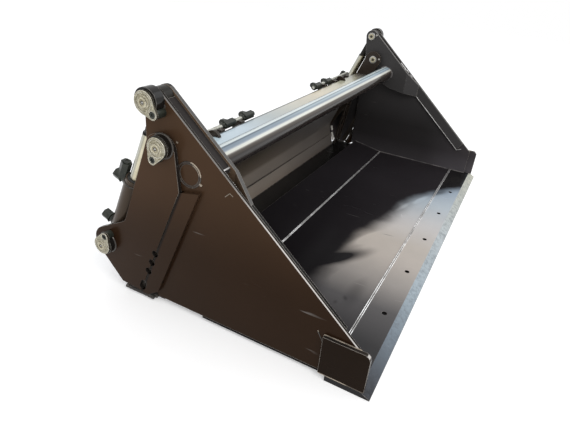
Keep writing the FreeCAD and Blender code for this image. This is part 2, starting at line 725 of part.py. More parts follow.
# Lower lip of the attachment plate, folded towards the loader below the knee
LIP_LEAN = math.radians(ATTACH_LIP_ANGLE)
LIP_OUT = (-MOLD_UP[0] * math.cos(LIP_LEAN) + MOLD_UP[1] * math.sin(LIP_LEAN),
           -MOLD_UP[1] * math.cos(LIP_LEAN) - MOLD_UP[0] * math.sin(LIP_LEAN))
LIP_BACK = (-LIP_OUT[1], LIP_OUT[0])
KNEE = attach_line(ATTACH_FOOT_Z, 0)


def lip_point(out, back):
    """Point on the lip, measured outwards from the knee and through its thickness."""
    return shifted(shifted(KNEE, LIP_OUT, out), LIP_BACK, back)


def latch_slot(x):
    """Tool for one slot in the lip that a latch wedge of the loader drops through."""
    near = lip_point(ATTACH_LIP_DROP - LATCH_SLOT_UP - LATCH_SLOT_H / 2, -ATTACH_T)
    far = shifted(near, LIP_OUT, LATCH_SLOT_H)
    x0 = x - LATCH_SLOT_W / 2
    x1 = x + LATCH_SLOT_W / 2
    corners = [Vector(x0, *near), Vector(x1, *near), Vector(x1, *far), Vector(x0, *far)]
    face = Part.Face(Part.makePolygon(corners + corners[:1]))
    return face.extrude(Vector(0, *LIP_BACK) * (3 * ATTACH_T))


def attach_plate():
    """Plate on the moldboard's back that the loader's carrier lies against, with a slotted lip."""
    inner_knee = ATTACH_T * math.tan(LIP_LEAN / 2)
    points = [attach_line(ATTACH_TOP_Z, 0), KNEE, lip_point(ATTACH_LIP_DROP, 0),
              lip_point(ATTACH_LIP_DROP, ATTACH_T), lip_point(inner_knee, ATTACH_T),
              attach_line(ATTACH_TOP_Z, ATTACH_T)]
    shape = plate(points, -ATTACH_HALF, ATTACH_HALF)
    return shape.cut([latch_slot(-LATCH_SLOT_X), latch_slot(LATCH_SLOT_X)])


# Underside corner and tip of the hook strip, which slopes down towards the loader
HOOK_OUT = polar((0, 0), 1, -HOOK_ANGLE)
HOOK_UP = (-HOOK_OUT[1], HOOK_OUT[0])
HOOK_BACK = shifted(attach_line(ATTACH_TOP_Z, ATTACH_T), MOLD_UP, HOOK_RISE)
HOOK_TIP = shifted(HOOK_BACK, HOOK_OUT, HOOK_LEG)


def attach_hook():
    """Sloping strip on a low riser along the attachment plate's top, which hangs on the carrier."""
    foot = attach_line(ATTACH_TOP_Z, 0)
    points = [foot, attach_line(ATTACH_TOP_Z, ATTACH_T), HOOK_BACK, HOOK_TIP,
              shifted(HOOK_TIP, HOOK_UP, HOOK_T), shifted(HOOK_BACK, HOOK_UP, HOOK_T),
              shifted(foot, MOLD_UP, HOOK_RISE)]
    return plate(points, -ATTACH_HALF, ATTACH_HALF)


def rib(x):
    """Web between the moldboard's foot and the underside of the lip."""
    top = MOLD_BEND[1] - RIB_DROP
    points = [foot_line(top, MOLD_T), foot_line(2 * EDGE_T, MOLD_T),
              lip_point(ATTACH_LIP_DROP - 2 * ATTACH_T, 0), KNEE, attach_line(top, 0)]
    return plate(points, x - RIB_T / 2, x + RIB_T / 2)


def end_gusset():
    """End web of the attachment plate with a rounded head over the beam."""
    x0 = ATTACH_HALF
    x1 = ATTACH_HALF + GUSSET_T
    web = belt([(mold_line(MOLD_BEND[1] + MOLD_BEND_R, MOLD_T), 0), (KNEE, 0),
                (lip_point(ATTACH_LIP_DROP, 0), 0), (lip_point(ATTACH_LIP_DROP, ATTACH_T), 0),
                (shifted(HOOK_TIP, HOOK_UP, HOOK_T), 0), (GUSSET_DOME, GUSSET_DOME_R)], x0, x1)
    inside = [mold_line(MOLD_TOP[1], MOLD_T), mold_line(EDGE_T, MOLD_T), (0, EDGE_T),
              (0, BEAM_TOP_Z), (BEAM_BACK_Y, BEAM_TOP_Z), (BEAM_BACK_Y, MOLD_TOP[1])]
    bowl = plate(inside, x0 - 1, x1 + 1)
    line = rod_x((LINE_Y, LINE_Z), LINE_OD + 2 * SEAT_GAP, x0 - 1, x1 + 1)
    return web.cut([bowl, line])


def hydraulic_line():
    """Steel line along the beam that turns down the moldboard's back at its outer end."""
    down = Vector(0, -MOLD_UP[0], -MOLD_UP[1])
    out = Vector(1, 0, 0)
    start = Vector(LINE_IN_X, LINE_Y, LINE_Z)
    turn = Vector(LINE_OUT_X - LINE_BEND_R, LINE_Y, LINE_Z)
    centre = turn + down * LINE_BEND_R
    middle = centre + (out - down) * (LINE_BEND_R * math.sqrt(0.5))
    bent = centre + out * LINE_BEND_R
    end = bent + down * (LINE_DROP - LINE_BEND_R)
    path = Part.Wire([Part.makeLine(start, turn), Part.Arc(turn, middle, bent).toShape(),
                      Part.makeLine(bent, end)])
    circle = Part.makeCircle(LINE_OD / 2, start, out)
    return path.makePipeShell([Part.Wire(circle)], True, False)


def line_union():
    """Hexagonal union on the line's lower end."""
    down = Vector(0, -MOLD_UP[0], -MOLD_UP[1])
    end = Vector(LINE_OUT_X, LINE_Y, LINE_Z) + down * LINE_DROP
    return hex_bar(FITTING_HEX, UNION_L, end, down)


def tee(x):
    """Tee body round the line with a hexagonal hose stub pointing to the loader."""
    body = hex_bar(TEE_HEX, TEE_L, Vector(x - TEE_L / 2, LINE_Y, LINE_Z), Vector(1, 0, 0))
    stub = hex_bar(TEE_HEX - 4, TEE_STUB, Vector(x, LINE_Y, LINE_Z), Vector(0, 1, 0))
    line = rod_x((LINE_Y, LINE_Z), LINE_OD, x - TEE_L, x + TEE_L)
    return fuse([body, stub]).cut(line)


def line_clamp(x):
    """Clamp block that carries the line on the moldboard's top edge."""
    foot = mold_line(MOLD_TOP[1] - CLAMP_W, MOLD_T)
    points = [foot, (LINE_Y + LINE_OD, foot[1]), (LINE_Y + LINE_OD, LINE_Z), (BEAM_BACK_Y, LINE_Z),
              (BEAM_BACK_Y, MOLD_TOP[1]), mold_line(MOLD_TOP[1], MOLD_T)]
    block = plate(points, x - CLAMP_W / 2, x + CLAMP_W / 2)
    return block.cut(rod_x((LINE_Y, LINE_Z), LINE_OD, x - CLAMP_W, x + CLAMP_W))


def save_rear_body():
    save("moldboard", moldboard())
    save("moldboard_wear_strip", wear_strip())
    save("rear_blade", rear_blade())
    save("top_beam", top_beam())
    save("attach_plate", attach_plate())
    save("attach_hook", attach_hook())
    save("rear_ribs", *[rib(sign * x) for x in RIB_X for sign in (-1, 1)])
    boss_end = OUTER_PLATE_OUT + BOSS_L
    bosses = [boss(HINGE), boss(BASE_PIN)]
    save("rear_pin_bosses", *bosses, *[mirror(shape) for shape in bosses])
    bolts = [flag_bolt(HINGE, HINGE_FLAG_ANGLE, OUTER_PLATE_OUT, boss_end, BOSS_R),
             flag_bolt(BASE_PIN, BASE_FLAG_ANGLE, OUTER_PLATE_OUT, boss_end, BOSS_R)]
    save("rear_flag_bolts", *bolts, *[mirror(shape) for shape in bolts])
    rings = [hinge_washer(), base_spacer()]
    save("thrust_rings", *rings, *[mirror(shape) for shape in rings])
    tees = [tee(x) for x in TEE_X] + [line_union()]
    save("line_fittings", *tees, *[mirror(shape) for shape in tees])
    save("line_clamps", *[line_clamp(sign * x) for x in CLAMP_X for sign in (-1, 1)])
    for side, sign in SIDES:
        save("rear_outer_plate_" + side, on_side(rear_outer_plate(), sign))
        save("rear_inner_plate_" + side, on_side(rear_inner_plate(), sign))
        save("side_web_" + side, on_side(side_web(), sign))
        save("end_gusset_" + side, on_side(end_gusset(), sign))
        save("hinge_pin_" + side, on_side(flag_pin(HINGE, HINGE_FLAG_ANGLE, boss_end, PIN_INNER_X), sign))
        save("base_pin_" + side, on_side(flag_pin(BASE_PIN, BASE_FLAG_ANGLE, boss_end, PIN_INNER_X), sign))
        save("hydraulic_line_" + side, on_side(hydraulic_line(), sign))


def save_clam():
    save("floor_plate", floor_plate())
    save("floor_panel", floor_panel())
    save("rear_lip_bar", lip_bar())
    save("cutting_edge", cutting_edge())
    save("cross_tube", cross_tube())
    save("tube_end_caps", *tube_caps())
    boss_end = CLAM_HALF + APEX_BOSS_L
    save("apex_bosses", apex_boss(), mirror(apex_boss()))
    save("hinge_sleeves", hinge_sleeve(), mirror(hinge_sleeve()))
    save("arm_infills", arm_infill(), mirror(arm_infill()))
    save("side_edge_bars", edge_bar(), mirror(edge_bar()))
    bolt = flag_bolt(ROD_PIN, ROD_FLAG_ANGLE, CLAM_HALF, boss_end, APEX_BOSS_R)
    save("rod_flag_bolts", bolt, mirror(bolt))
    for side, sign in SIDES:
        save("clam_side_" + side, on_side(clam_side(), sign))
        save("arm_inner_plate_" + side, on_side(arm_inner_plate(), sign))
        save("corner_plate_" + side, on_side(corner_plate(), sign))
        save("grip_strip_" + side, on_side(grip_strip(), sign))
        pin = flag_pin(ROD_PIN, ROD_FLAG_ANGLE, boss_end, ARM_INNER - SIDE_T)
        save("rod_pin_" + side, on_side(pin, sign))


def save_cylinders():
    for side, sign in SIDES:
        save("cylinder_barrel_" + side, on_side(barrel(), sign))
        save("cylinder_gland_" + side, on_side(gland(), sign))
        save("cylinder_fittings_" + side, *[on_side(shape, sign) for shape in cylinder_fittings()])
        save("piston_" + side, on_side(piston(), sign))
        save("piston_rod_" + side, on_side(piston_rod(), sign))
        save("rod_bush_" + side, on_side(rod_bush(), sign))


os.makedirs("parts", exist_ok=True)
save_rear_body()
save_clam()
save_cylinders()
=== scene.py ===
"""Finish, welds, small hardware and stage for a four-in-one loader bucket."""

import math
import random

import bmesh
import bpy
from bpy.props import FloatProperty, FloatVectorProperty, IntProperty, PointerProperty
from mathutils import Matrix, Vector


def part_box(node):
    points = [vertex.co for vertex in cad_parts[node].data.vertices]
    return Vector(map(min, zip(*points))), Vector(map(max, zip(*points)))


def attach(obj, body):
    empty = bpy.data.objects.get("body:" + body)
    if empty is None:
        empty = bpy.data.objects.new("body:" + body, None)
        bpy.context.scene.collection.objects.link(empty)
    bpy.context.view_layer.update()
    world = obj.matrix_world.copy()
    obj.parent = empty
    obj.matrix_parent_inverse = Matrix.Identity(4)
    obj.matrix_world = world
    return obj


bl_info = {
    "name": "Four-in-one bucket",
    "version": (1, 0, 0),
    "blender": (4, 5, 0),
    "location": "View3D > Sidebar > Bucket",
    "description": "Paint, welds, pins and hydraulic details of a four-in-one loader bucket",
    "category": "Object",
}

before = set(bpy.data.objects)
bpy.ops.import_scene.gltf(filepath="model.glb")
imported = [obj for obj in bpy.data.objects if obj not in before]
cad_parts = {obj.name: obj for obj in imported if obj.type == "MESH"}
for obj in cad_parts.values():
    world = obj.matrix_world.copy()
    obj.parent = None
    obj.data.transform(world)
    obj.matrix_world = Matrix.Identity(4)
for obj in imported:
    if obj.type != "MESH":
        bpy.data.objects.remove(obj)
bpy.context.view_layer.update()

# Places on the frame, in metres, in the (y, z) plane
HINGE = (0.1895, 0.568)
ROD_PIN = (0.2265, 0.685)
BASE_PIN = (0.4435, 0.168)
TUBE = (0.1125, 0.499)
FRONT_FOOT = (-0.4405, 0.147)
CLOSING_TOP = (0.1395, 0.442)
CLOSING_LEAN = math.radians(22.5)
MOLD_TOP = (0.2705, 0.470)
MOLD_BEND = (0.3965, 0.146)
MOLD_FOOT = (0.3725, 0.020)
ARM_TOE_Y = -0.0795
INFILL_TOE_Y = 0.0125
ROD_SHANK_Z = BASE_PIN[1] + 0.436 * 0.922
ATTACH_TOP_Z = 0.380

# Stations across the bucket, from the middle outwards
ATTACH_HALF = 0.572
HINGE_PIN_INNER = 0.822
PLATE_IN = 0.825
PLATE_OUT = 0.837
ROD_PIN_INNER = 0.843
ARM_INNER = 0.855
ARM_OUTER = 0.867
CYLINDER_X = 0.885
CLAM_INNER = 0.903
CLAM_HALF = 0.915
REAR_PLATE_IN = 0.9175
OUTER_FACE = 0.9295
APEX_BOSS_END = 0.947
REAR_BOSS_END = 0.9495

# Radii, widths and lengths
TUBE_R = 0.038
APEX_R = 0.032
EDGE_BAR_W = 0.048
MOLD_T = 0.008
ATTACH_T = 0.010
BOSS_R = 0.034
APEX_BOSS_R = 0.038
FLAG_T = 0.008
PIN_R = 0.015
BARREL_R = 0.032
BARREL_END = 0.250
GLAND_END = 0.264

# How deep the foot of a small piece sits in the face that carries it
SINK = 0.0005

SIDES = (("left", 1), ("right", -1))
SIGNS = (1, -1)

# Radii of the weld beads
BEAD = {
    "floor": 0.0020, "side foot": 0.0030, "edge bar": 0.0021, "arm toe": 0.0026, "arm tube": 0.0042,
    "arm sleeve": 0.0028, "infill": 0.0026, "infill wall": 0.0034, "tube end": 0.0016, "tube cap": 0.0011,
    "mark": 0.0013, "scar": 0.0016, "corner": 0.0018, "corner foot": 0.0016, "stitch": 0.0064, "bowl": 0.0026,
    "blade end": 0.0080, "blade side": 0.0068, "mold foot": 0.0040, "attach top": 0.0038, "beam": 0.0034,
    "mold back": 0.0036, "rib": 0.0030, "boss": 0.0030, "pin sleeve": 0.0024, "apex": 0.0032, "barrel": 0.0028,
    "port": 0.0024, "rod eye": 0.0018,
}


# Settings a user would change

class BucketPaintSettings(bpy.types.PropertyGroup):
    """Colours and surface of the gloss paint."""
    # Brown of the outer faces: the paint's dark brown with painted warm light in it
    side_colour: FloatVectorProperty(
        name="Side plate colour", description="Paint and painted warm light on the outer faces of the side plates",
        subtype="COLOR", size=3, min=0, max=1, default=(0.039, 0.0225, 0.0140))
    bowl_colour: FloatVectorProperty(
        name="Bowl colour", description="Paint inside the bowl and on the rear body",
        subtype="COLOR", size=3, min=0, max=1, default=(0.0105, 0.0098, 0.0100))
    # Light line along plate edges: a painted highlight where light catches them
    edge_highlight_colour: FloatVectorProperty(
        name="Edge highlight colour", description="Painted highlight along plate edges",
        subtype="COLOR", size=3, min=0, max=1, default=(0.52, 0.48, 0.43))
    edge_width: FloatProperty(
        name="Edge width", description="Width of the painted highlight along plate edges",
        subtype="DISTANCE", unit="LENGTH", min=0, max=0.01, default=0.0020)
    wave_depth: FloatProperty(
        name="Plate wave", description="How far the plates' slow waves bend reflections",
        min=0, max=1, default=0.12)


class BucketWeldSettings(bpy.types.PropertyGroup):
    """Size and irregularity of the weld beads."""
    bead_size: FloatProperty(
        name="Bead size", description="Radius of every bead as a share of its usual radius",
        min=0.3, max=1.5, default=1.0)
    ripple: FloatProperty(
        name="Ripple", description="Depth of the ripples as a share of the radius",
        min=0, max=0.5, default=0.16)
    pitch: FloatProperty(
        name="Ripple pitch", description="Distance between two ripples",
        subtype="DISTANCE", unit="LENGTH", min=0.002, max=0.02, default=0.006)
    seed: IntProperty(name="Seed", description="Seed for the beads' small irregularities", min=0, default=7)


class BucketStageSettings(bpy.types.PropertyGroup):
    """Camera, floor and light."""
    floor_colour: FloatVectorProperty(
        name="Floor colour", description="Colour of the floor and backdrop",
        subtype="COLOR", size=3, min=0, max=1, default=(0.9, 0.9, 0.9))
    camera_place: FloatVectorProperty(
        name="Camera place", description="Where the camera stands", subtype="TRANSLATION", size=3,
        default=(-1.84776, -0.63406, 1.04614))
    camera_yaw: FloatProperty(
        name="Camera yaw", description="Heading from +Y towards +X in degrees", default=64.354)
    camera_pitch: FloatProperty(
        name="Camera pitch", description="Degrees that the camera looks down", default=28.640)
    camera_roll: FloatProperty(
        name="Camera roll", description="Degrees that the camera is rolled", default=5.343)
    camera_lens: FloatProperty(
        name="Lens", description="Focal length on a 36 mm sensor", min=5, default=29.696)
    key_energy: FloatProperty(
        name="Key light", description="Power of the key light in watts", min=0, default=45)
    fill_energy: FloatProperty(
        name="Fill light", description="Power of the fill light in watts", min=0, default=20)


def settings():
    return bpy.context.scene.four_in_one


# Shader building blocks

def add(tree, kind, inputs=None, **options):
    """Add a shader node, set its options and fill or link its inputs."""
    made = tree.nodes.new("ShaderNode" + kind)
    for name, value in options.items():
        setattr(made, name, value)
    for socket, value in (inputs or {}).items():
        fill_or_link(tree, made.inputs[socket], value)
    return made


def fill_or_link(tree, target, value):
    if isinstance(value, bpy.types.NodeSocket):
        tree.links.new(value, target)
    else:
        target.default_value = value


def math_node(tree, operation, first, second=0.0, third=0.0):
    return add(tree, "Math", {0: first, 1: second, 2: third}, operation=operation).outputs[0]


def plus(tree, first, second):
    return math_node(tree, "ADD", first, second)


def minus(tree, first, second):
    return math_node(tree, "SUBTRACT", first, second)


def times(tree, first, second):
    return math_node(tree, "MULTIPLY", first, second)


def times_plus(tree, value, factor, offset):
    return math_node(tree, "MULTIPLY_ADD", value, factor, offset)


def larger(tree, first, second):
    return math_node(tree, "MAXIMUM", first, second)


def absolute(tree, value):
    return math_node(tree, "ABSOLUTE", value)


def dot(tree, first, second):
    return add(tree, "VectorMath", {0: first, 1: second}, operation="DOT_PRODUCT").outputs["Value"]


def length_of(tree, vector):
    return add(tree, "VectorMath", {0: vector}, operation="LENGTH").outputs["Value"]


def smooth(tree, value, low, high):
    """Smooth step of a value between two limits."""
    made = add(tree, "MapRange", {0: value, 1: low, 2: high, 3: 0.0, 4: 1.0}, interpolation_type="SMOOTHSTEP")
    return made.outputs[0]


def solid(colour):
    return (colour[0], colour[1], colour[2], 1.0)


def mix_colour(tree, share, first, second, blend="MIX"):
    """Mix of two colours, each a socket or three values."""
    made = add(tree, "Mix", data_type="RGBA", blend_type=blend)
    fill_or_link(tree, made.inputs[0], share)
    for index, value in ((6, first), (7, second)):
        fill_or_link(tree, made.inputs[index], value if isinstance(value, bpy.types.NodeSocket) else solid(value))
    return made.outputs[2]


def tint(tree, colour, factor, share=1.0):
    """Colour multiplied by another, in full or by a share."""
    return mix_colour(tree, share, colour, factor, "MULTIPLY")


def mix_value(tree, share, first, second):
    return add(tree, "Mix", {0: share, 2: first, 3: second}, data_type="FLOAT").outputs[0]


def texture_place(tree):
    """Place in the frame's coordinates, which every plate keeps as its own."""
    return add(tree, "TexCoord").outputs["Object"]


def axes(tree, label):
    """The x, y and z sockets of the object coordinates or of the normal."""
    return add(tree, "SeparateXYZ", {0: add(tree, "TexCoord").outputs[label]}).outputs


def noise(tree, coordinates, scale, detail=3.0, rough=0.5):
    inputs = {"Vector": coordinates, "Scale": scale, "Detail": detail, "Roughness": rough}
    return add(tree, "TexNoise", inputs).outputs[0]


def stretched(tree, place, scale, turn=(0.0, 0.0, 0.0)):
    """Coordinates turned and scaled by axis, for streaks."""
    made = add(tree, "Mapping", {"Vector": place, "Rotation": turn, "Scale": scale}, vector_type="POINT")
    return made.outputs[0]


def ramp_colour(tree, value, stops):
    """Colour ramp from (position, colour) pairs."""
    ramp = add(tree, "ValToRGB", {0: value})
    elements = ramp.color_ramp.elements
    while len(elements) > 1:
        elements.remove(elements[0])
    elements[0].position = stops[0][0]
    elements[0].color = solid(stops[0][1])
    for position, colour in stops[1:]:
        elements.new(position).color = solid(colour)
    return ramp.outputs[0]


def along_x(tree):
    """Place across the bucket as 0 at the right edge and 1 at the left edge."""
    limits = {0: axes(tree, "Object")[0], 1: -OUTER_FACE, 2: OUTER_FACE, 3: 0.0, 4: 1.0}
    return add(tree, "MapRange", limits).outputs[0]


def new_group(name, inputs, outputs):
    """Empty node group with named numbers as inputs and named outputs."""
    tree = bpy.data.node_groups.new(name, "ShaderNodeTree")
    for label, value in inputs.items():
        socket = tree.interface.new_socket(name=label, in_out="INPUT", socket_type="NodeSocketFloat")
        socket.default_value = value
    for label, kind in outputs.items():
        tree.interface.new_socket(name=label, in_out="OUTPUT", socket_type="NodeSocket" + kind)
    return tree, tree.nodes.new("NodeGroupInput").outputs, tree.nodes.new("NodeGroupOutput").inputs


def use_group(tree, name, **values):
    """Place a group; keywords are its inputs' names with _ for a space."""
    made = add(tree, "Group")
    made.node_tree = bpy.data.node_groups[name]
    for label, value in values.items():
        fill_or_link(tree, made.inputs[label.replace("_", " ")], value)
    return made.outputs


def build_edge_highlight():
    """Mask along convex edges for a painted highlight, broken up by noise, and the normal of a slightly rounded edge.
    """
    tree, given, result = new_group("Painted edge highlight", {"Width": 0.002, "Break scale": 30.0, "Keep": 0.5},
                                    {"Mask": "Float", "Normal": "Vector"})
    rounded = add(tree, "Bevel", {"Radius": given["Width"]}, samples=6).outputs[0]
    same = dot(tree, rounded, add(tree, "NewGeometry").outputs["Normal"])
    line = smooth(tree, minus(tree, 1.0, same), 0.01, 0.12)
    broken = smooth(tree, noise(tree, texture_place(tree), given["Break scale"], 4.0, 0.6), 0.32, 0.60)
    kept = mix_value(tree, given["Keep"], 1.0, broken)
    tree.links.new(times(tree, line, kept), result["Mask"])
    tree.links.new(rounded, result["Normal"])


def build_paint_surface():
    """Height of the paint film: slow plate waves, orange peel and dust nibs."""
    tree, given, result = new_group("Paint surface", {"Wave scale": 2.2, "Wave depth": 0.12, "Peel scale": 220.0,
                                                      "Peel depth": 0.012}, {"Height": "Float"})
    place = texture_place(tree)
    wave = times(tree, noise(tree, place, given["Wave scale"], 2.0, 0.45), given["Wave depth"])
    peel = times(tree, noise(tree, place, given["Peel scale"], 2.0, 0.5), given["Peel depth"])
    nibs = smooth(tree, noise(tree, place, 900.0, 1.0, 0.5), 0.72, 0.80)
    film = times_plus(tree, nibs, 0.006, peel)
    tree.links.new(plus(tree, wave, film), result["Height"])


def build_handling():
    """Faint dust, smears and scuffs from handling."""
    tree, given, result = new_group("Handling marks", {"Dust scale": 5.0, "Scuff scale": 26.0},
                                    {"Dust": "Float", "Scuff": "Float", "Scratch": "Float", "Tone": "Float"})
    place = texture_place(tree)
    cloud = smooth(tree, noise(tree, place, given["Dust scale"], 6.0, 0.62), 0.45, 0.85)
    lie = smooth(tree, axes(tree, "Normal")[2], -0.2, 0.9)
    tree.links.new(times(tree, cloud, lie), result["Dust"])
    smears = noise(tree, stretched(tree, place, (1.0, 0.16, 0.45)), given["Scuff scale"], 5.0, 0.7)
    tree.links.new(smooth(tree, smears, 0.63, 0.78), result["Scuff"])
    hairs = noise(tree, stretched(tree, place, (0.7, 0.03, 0.3), (0.0, 0.3, 0.42)), 190.0, 2.0, 0.4)
    sparse = smooth(tree, noise(tree, place, 7.0, 2.0, 0.5), 0.52, 0.66)
    tree.links.new(times(tree, smooth(tree, hairs, 0.70, 0.76), sparse), result["Scratch"])
    tree.links.new(noise(tree, place, 3.1, 4.0, 0.55), result["Tone"])


def build_facing():
    """How far a face looks outwards, and whether it is a thin rim of a side plate."""
    tree, given, result = new_group("Facing", {"Start": 0.3}, {"Outward": "Float", "Rim": "Float"})
    across_normal = axes(tree, "Normal")[0]
    out = times(tree, math_node(tree, "SIGN", axes(tree, "Object")[0]), across_normal)
    tree.links.new(smooth(tree, out, given["Start"], 0.7), result["Outward"])
    tree.links.new(smooth(tree, absolute(tree, across_normal), 0.7, 0.4), result["Rim"])


# Where the painted sky reflection ends across the floor: place from right to left, and reach towards the rear
REFLECTION_BORDER = ((0.20, 0.84), (0.36, 0.80), (0.44, 0.79), (0.53, 0.64), (0.65, 0.57), (0.73, 0.46), (0.80, 0.26),
               (0.87, 0.0))
# Colours of the painted sky reflection from the right edge to the left
REFLECTION_COLOURS = ((0.10, (0.030, 0.029, 0.031)), (0.20, (0.098, 0.094, 0.096)), (0.285, (0.33, 0.305, 0.285)),
                (0.366, (0.48, 0.435, 0.395)), (0.45, (0.54, 0.49, 0.44)), (0.56, (0.56, 0.545, 0.54)),
                (0.69, (0.44, 0.50, 0.55)), (0.80, (0.33, 0.40, 0.48)))
# Places in plan, half sizes, tilts and strengths of the painted reflection's gaps and brighter spots
REFLECTION_PATCHES = (
    ((-0.155, -0.206), (0.150, 0.030), -22, 0.50), ((-0.320, -0.196), (0.170, 0.050), -34, -0.80),
    ((-0.430, -0.245), (0.120, 0.045), -30, 0.50), ((-0.520, -0.300), (0.130, 0.040), 0, -0.28),
    ((-0.320, -0.165), (0.060, 0.030), -20, 0.15), ((0.374, -0.313), (0.100, 0.020), -18, 0.40),
    ((0.520, -0.380), (0.080, 0.025), -30, -0.30), ((0.250, -0.262), (0.100, 0.016), -14, 0.25),
    ((-0.468, -0.298), (0.0035, 0.030), 4, 0.9), ((-0.062, -0.280), (0.0030, 0.036), 11, -0.6),
    ((0.148, -0.283), (0.022, 0.005), 25, 0.7), ((0.152, -0.290), (0.022, 0.004), -35, 0.5),
    ((-0.572, -0.283), (0.020, 0.012), 30, -0.35), ((-0.610, -0.262), (0.016, 0.010), 0, -0.35))


def build_painted_sky_reflection():
    """Painted reflection of the sky on the floor's front part, with a slanting border, gaps and brighter spots."""
    tree, given, result = new_group("Painted sky reflection", {"Warp": 0.05}, {"Mask": "Float", "Colour": "Color"})
    place = texture_place(tree)
    drift = times(tree, minus(tree, noise(tree, place, 4.5, 3.0), 0.5), given["Warp"])
    fine = times(tree, minus(tree, noise(tree, place, 15.0, 4.0), 0.5), times(tree, given["Warp"], 0.5))
    level = ramp_colour(tree, along_x(tree), tuple((at, (value, value, value)) for at, value in REFLECTION_BORDER))
    border = times_plus(tree, level, 0.40, -0.49)
    reach = minus(tree, plus(tree, border, drift), axes(tree, "Object")[1])
    lit = smooth(tree, plus(tree, reach, fine), -0.045, 0.060)
    for centre, size, tilt, depth in REFLECTION_PATCHES:
        lit = plus(tree, lit, soft_patch(tree, place, centre, size, tilt, depth))
    up = smooth(tree, axes(tree, "Normal")[2], 0.7, 0.95)
    clear = math_node(tree, "MINIMUM", larger(tree, lit, 0.0), 1.25)
    tree.links.new(times(tree, clear, up), result["Mask"])
    tree.links.new(ramp_colour(tree, along_x(tree), REFLECTION_COLOURS), result["Colour"])


def soft_patch(tree, place, centre, size, tilt, depth):
    """Soft oval in plan, turned by some degrees, whose middle has a given value."""
    local = add(tree, "Mapping", {"Vector": place, "Location": (*centre, 0.0), "Scale": (*size, 10.0),
                                  "Rotation": (0.0, 0.0, math.radians(tilt))}, vector_type="TEXTURE")
    return times(tree, smooth(tree, length_of(tree, local.outputs[0]), 1.0, 0.1), depth)


def build_turned_metal():
    """Fine turning lines and stains on machined or plated steel."""
    tree, given, result = new_group("Turned metal", {"Line scale": 420.0, "Stain scale": 40.0},
                                    {"Height": "Float", "Stain": "Float"})
    place = texture_place(tree)
    lines = noise(tree, stretched(tree, place, (1.0, 0.12, 0.12)), given["Line scale"], 2.0, 0.5)
    tree.links.new(lines, result["Height"])
    tree.links.new(smooth(tree, noise(tree, place, given["Stain scale"], 5.0, 0.6), 0.35, 0.7), result["Stain"])


def start_material(name, metallic=0.0, roughness=0.3, coat=0.0, specular=0.5, sheen=(1.0, 1.0, 1.0)):
    material = bpy.data.materials.new(name)
    material.use_nodes = True
    tree = material.node_tree
    shader = tree.nodes["Principled BSDF"]
    for label, value in (("Metallic", metallic), ("Roughness", roughness), ("Coat Weight", coat),
                         ("Coat Roughness", 0.06), ("Specular IOR Level", specular), ("Specular Tint", solid(sheen))):
        shader.inputs[label].default_value = value
    return material, tree, shader


def link_surface(tree, shader, colour, roughness, height, depth, normal=None):
    """Colour, roughness and height of a finish; depth is the height's reach in metres."""
    tree.links.new(colour, shader.inputs["Base Color"])
    tree.links.new(roughness, shader.inputs["Roughness"])
    bump = add(tree, "Bump", {"Strength": 1.0, "Distance": depth, "Height": height})
    if normal:
        tree.links.new(normal, bump.inputs["Normal"])
    tree.links.new(bump.outputs[0], shader.inputs["Normal"])


def paint_edge_highlight(tree, colour, bright, share, **highlight_values):
    """Colour with a painted highlight along the edges, and the normal of the rounded edges."""
    # Painted highlight along the edges
    wear = use_group(tree, "Painted edge highlight", **highlight_values)
    return mix_colour(tree, times(tree, wear["Mask"], share), colour, bright), wear["Normal"]


def finish_paint(tree, shader, colour, edge=0.5, rough=0.22, wave=None, keep=0.6, dust=0.04):
    """Dust, scuffs, a painted highlight along the edges and film height over a colour."""
    paint = settings().paint
    dust_colour, scratch_colour = (0.32, 0.29, 0.25), (0.40, 0.38, 0.36)
    marks = use_group(tree, "Handling marks", Dust_scale=3.5, Scuff_scale=18.0)
    varied = tint(tree, colour, mix_colour(tree, marks["Tone"], (0.45, 0.45, 0.45), (1.6, 1.55, 1.5)), 0.4)
    dusty = mix_colour(tree, times(tree, marks["Dust"], dust), varied, dust_colour)
    scratched = mix_colour(tree, times(tree, marks["Scratch"], 0.30), dusty, scratch_colour)
    # Painted highlight along the edges, broken up by noise
    edge_lit, normal = paint_edge_highlight(tree, scratched, paint.edge_highlight_colour, edge, Width=paint.edge_width, Break_scale=17.0,
                             Keep=keep)
    film = use_group(tree, "Paint surface", Wave_depth=paint.wave_depth if wave is None else wave)
    link_surface(tree, shader, edge_lit, times_plus(tree, marks["Scuff"], 0.2, rough), film["Height"], 0.004, normal)


def sloping_face(tree):
    """Faces square to the sloping front edge of the sides."""
    slope = front_slope()
    texture = add(tree, "TexCoord").outputs
    across_slope = (0.0, -slope[1], slope[0])
    aligned = smooth(tree, dot(tree, texture["Normal"], across_slope), 0.95, 0.985)
    edge = slope[0] * FRONT_FOOT[1] - slope[1] * FRONT_FOOT[0]
    near = smooth(tree, dot(tree, texture["Object"], across_slope), edge - 0.012, edge - 0.008)
    return times(tree, aligned, near)


def rim_colour(tree):
    """Painted shade on the side plates' rims, with a painted highlight along the sloping edge's outer corner, brighter
    low down.
    """
    x, y, z = axes(tree, "Object")
    line = mix_colour(tree, smooth(tree, z, 0.40, 0.52), (0.62, 0.60, 0.58), (0.19, 0.185, 0.18))
    corner = smooth(tree, absolute(tree, x), CLAM_HALF - 0.0058, CLAM_HALF - 0.0042)
    sloping = mix_colour(tree, corner, (0.008, 0.008, 0.0075), line)
    return mix_colour(tree, sloping_face(tree), (0.020, 0.017, 0.015), sloping)


def ahead_of_closing_line(tree):
    """Distance ahead of the line where the clam meets the rear body."""
    x, y, z = axes(tree, "Object")
    ahead = (math.sin(CLOSING_LEAN), math.cos(CLOSING_LEAN))
    start = ahead[1] * CLOSING_TOP[0] + ahead[0] * CLOSING_TOP[1]
    return times_plus(tree, z, -ahead[0], times_plus(tree, y, -ahead[1], start))


